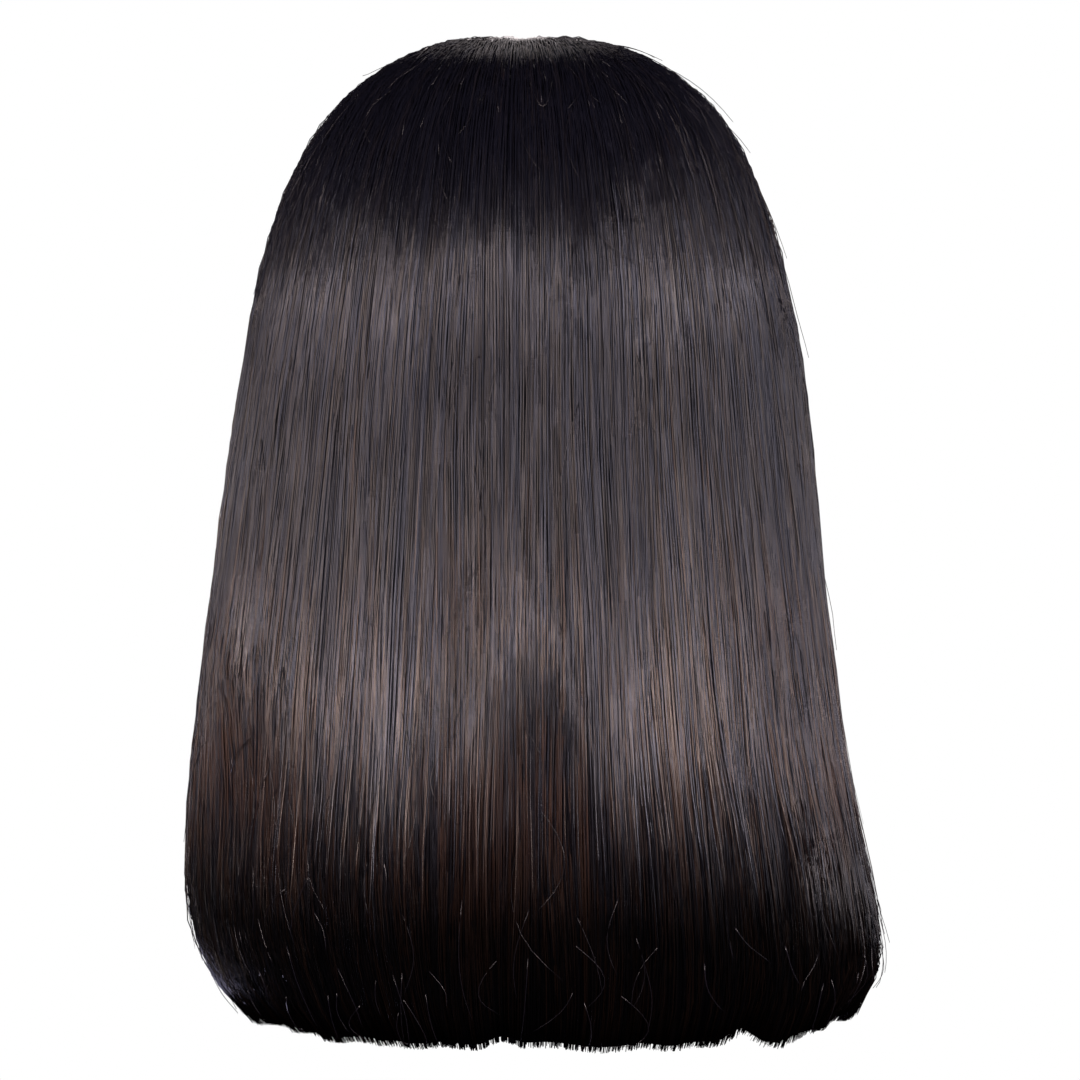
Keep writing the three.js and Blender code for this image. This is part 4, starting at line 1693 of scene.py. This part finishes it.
@dataclass
class Studio:
    """The camera, a ring of soft lights and a bright background as in a catalogue photograph."""

    distance: float = 2.2
    middle: tuple[float, float, float] = (0, 0, -170 * MM)
    camera_place: tuple[float, float, float] = (-6.3 * MM, 1300 * MM, -176 * MM)
    lens: float = 117.8
    sensor: float = 36.0
    panels: tuple[Panel, ...] = (
        Panel(180, 60, -11, 27, 1.7, "fff0f2"),
        Panel(120, 58, -4, 20, 1.4, "fff0f2"),
        Panel(240, 58, -14, 21, 1.3, "f9f2fa"),
        Panel(60, 58, 4, 13, 1.6, "fff2f0"),
        Panel(300, 58, -14, 14, 1.4, "f9f2fa"),
        Panel(0, 58, -4, 32, 2.0, "fff4f4"),
        Panel(0, 50, 40, 62, 0.9, "fff4f4"),
        Panel(180, 80, 16.5, 28, 17.0, "fff2f4"),
        Panel(120, 58, 8, 21, 13.0, "fff2f4"),
        Panel(240, 58, 8, 22, 12.0, "f9f2fa"),
        Panel(180, 80, -7, 0, 36.0, "fff0ec"),
        Panel(120, 66, -3, 1, 31.0, "fff0ec"),
        Panel(240, 68, -12, -4, 13.0, "fff2f4"),
    )
    corner_light: tuple[float, float, float] = (450 * MM, -300 * MM, -600 * MM)
    corner_aim: tuple[float, float, float] = (110 * MM, 40 * MM, -330 * MM)
    corner_size: tuple[float, float] = (200 * MM, 200 * MM)
    corner_power: float = 0.5
    corner_colour: str = "dcd8ff"

    def camera(self) -> None:
        """Places the camera behind the wig, level, as the photograph was taken."""
        data = bpy.data.cameras.new("camera")
        data.lens = self.lens
        data.sensor_width = self.sensor
        data.dof.use_dof = False
        camera = bpy.data.objects.new("camera", data)
        camera.location = self.camera_place
        camera.rotation_euler = (math.radians(90), 0, math.radians(180))
        bpy.context.scene.collection.objects.link(camera)
        bpy.context.scene.camera = camera

    def area(
        self, name: str, size: tuple[float, float], power: float, colour: str, place: Vector, aim: Vector
    ) -> None:
        """Adds one soft light that the camera doesn't see.

        Args:
            name: its name.
            size: its width and height.
            power: its watts.
            colour: its sRGB colour.
            place: its middle.
            aim: the way it faces.
        """
        data = bpy.data.lights.new(name, "AREA")
        data.shape = "RECTANGLE"
        data.size, data.size_y = size
        data.energy = power
        data.color = srgb(colour)[:3]
        light = bpy.data.objects.new(name, data)
        light.location = place
        light.rotation_euler = aim.to_track_quat("-Z", "Y").to_euler()
        light.visible_camera = False
        bpy.context.scene.collection.objects.link(light)

    def lights(self) -> None:
        """Places the ring of upright panels, and a small light under the wig's left corner."""
        middle = Vector(self.middle)
        for number, panel in enumerate(self.panels):
            low, high = (self.distance * math.tan(math.radians(a)) for a in (panel.low, panel.high))
            turn = math.radians(panel.turn)
            out = Vector((math.sin(turn), -math.cos(turn), 0)) * self.distance
            size = (2 * self.distance * math.tan(math.radians(panel.sweep / 2)), high - low)
            power = panel.bright * math.pi * size[0] * size[1]
            place = middle + out + Vector((0, 0, (low + high) / 2))
            self.area(f"panel_{number}", size, power, panel.colour, place, -out)
        place = Vector(self.corner_light)
        aim = Vector(self.corner_aim) - place
        self.area("corner_light", self.corner_size, self.corner_power, self.corner_colour, place, aim)

    def background(self) -> None:
        """Makes a white world that only the camera sees, and plain colours from light to picture."""
        scene, world = bpy.context.scene, bpy.data.worlds.new("white")
        scene.world = world
        world.use_nodes = True
        world.node_tree.nodes["Background"].inputs[0].default_value = (1, 1, 1, 1)
        for ray in ("diffuse", "glossy", "transmission", "scatter"):
            setattr(world.cycles_visibility, ray, False)
        scene.view_settings.view_transform = "Standard"

    def build(self) -> None:
        """Sets up the camera, the lights and the background."""
        self.camera()
        self.lights()
        self.background()


def main() -> None:
    """Builds the wig from the head out, then the studio."""
    logging.basicConfig(level=logging.INFO, format="%(name)s: %(message)s")
    form = HairForm()
    cap = form.cap
    hair = HairFinish().build()
    # Nylon net is a dull warm grey mesh with dark holes, and its diamonds are 1.6 mm wide.
    net = NetFinish("nylon_stretch_net", thread="6a5f62", hole="2a2426").build()
    # Swiss lace is a soft brown and finer, with cells of 1.2 mm, and its single threads are paler.
    lace = NetFinish("swiss_lace_sheet", thread="8f6f5a", hole="4a372d", cell=1.2 * MM).build()
    lace_thread = ThreadFinish("swiss_lace_thread", light="a58069", dark="8a6a56", grain=0.6 * MM).build()
    # Cotton tape is soft charcoal with a grain of 0.8 mm, and elastic is the same and darker.
    track_thread = ThreadFinish("cotton_weft_tape", light="4a4144", dark="2c2528").build()
    elastic = ThreadFinish("ribbed_elastic", light="332c2f", dark="1b1719").build()
    NetCap(cap).build(net, track_thread)
    LaceFront(cap).build(lace, lace_thread, hair)
    NapeBand(cap).build(elastic)
    UnderLayer(form).build(hair)
    for fall in (
        HairFall(form, "hair_back", 14, 30, 2500, 0, 100, loose=150, strokes=STROKES),
        HairFall(form, "hair_side_right", 7, 14, 1150, 400, 120),
        HairFall(form, "hair_side_left", 30, 37, 1150, 400, 140),
        HairFall(form, "hair_front_right", 0, 7, 850, 400, 160),
        HairFall(form, "hair_front_left", 37, 44, 850, 400, 180),
    ):
        fall.build(hair)
    Studio().build()


if __name__ == "__main__":
    main()
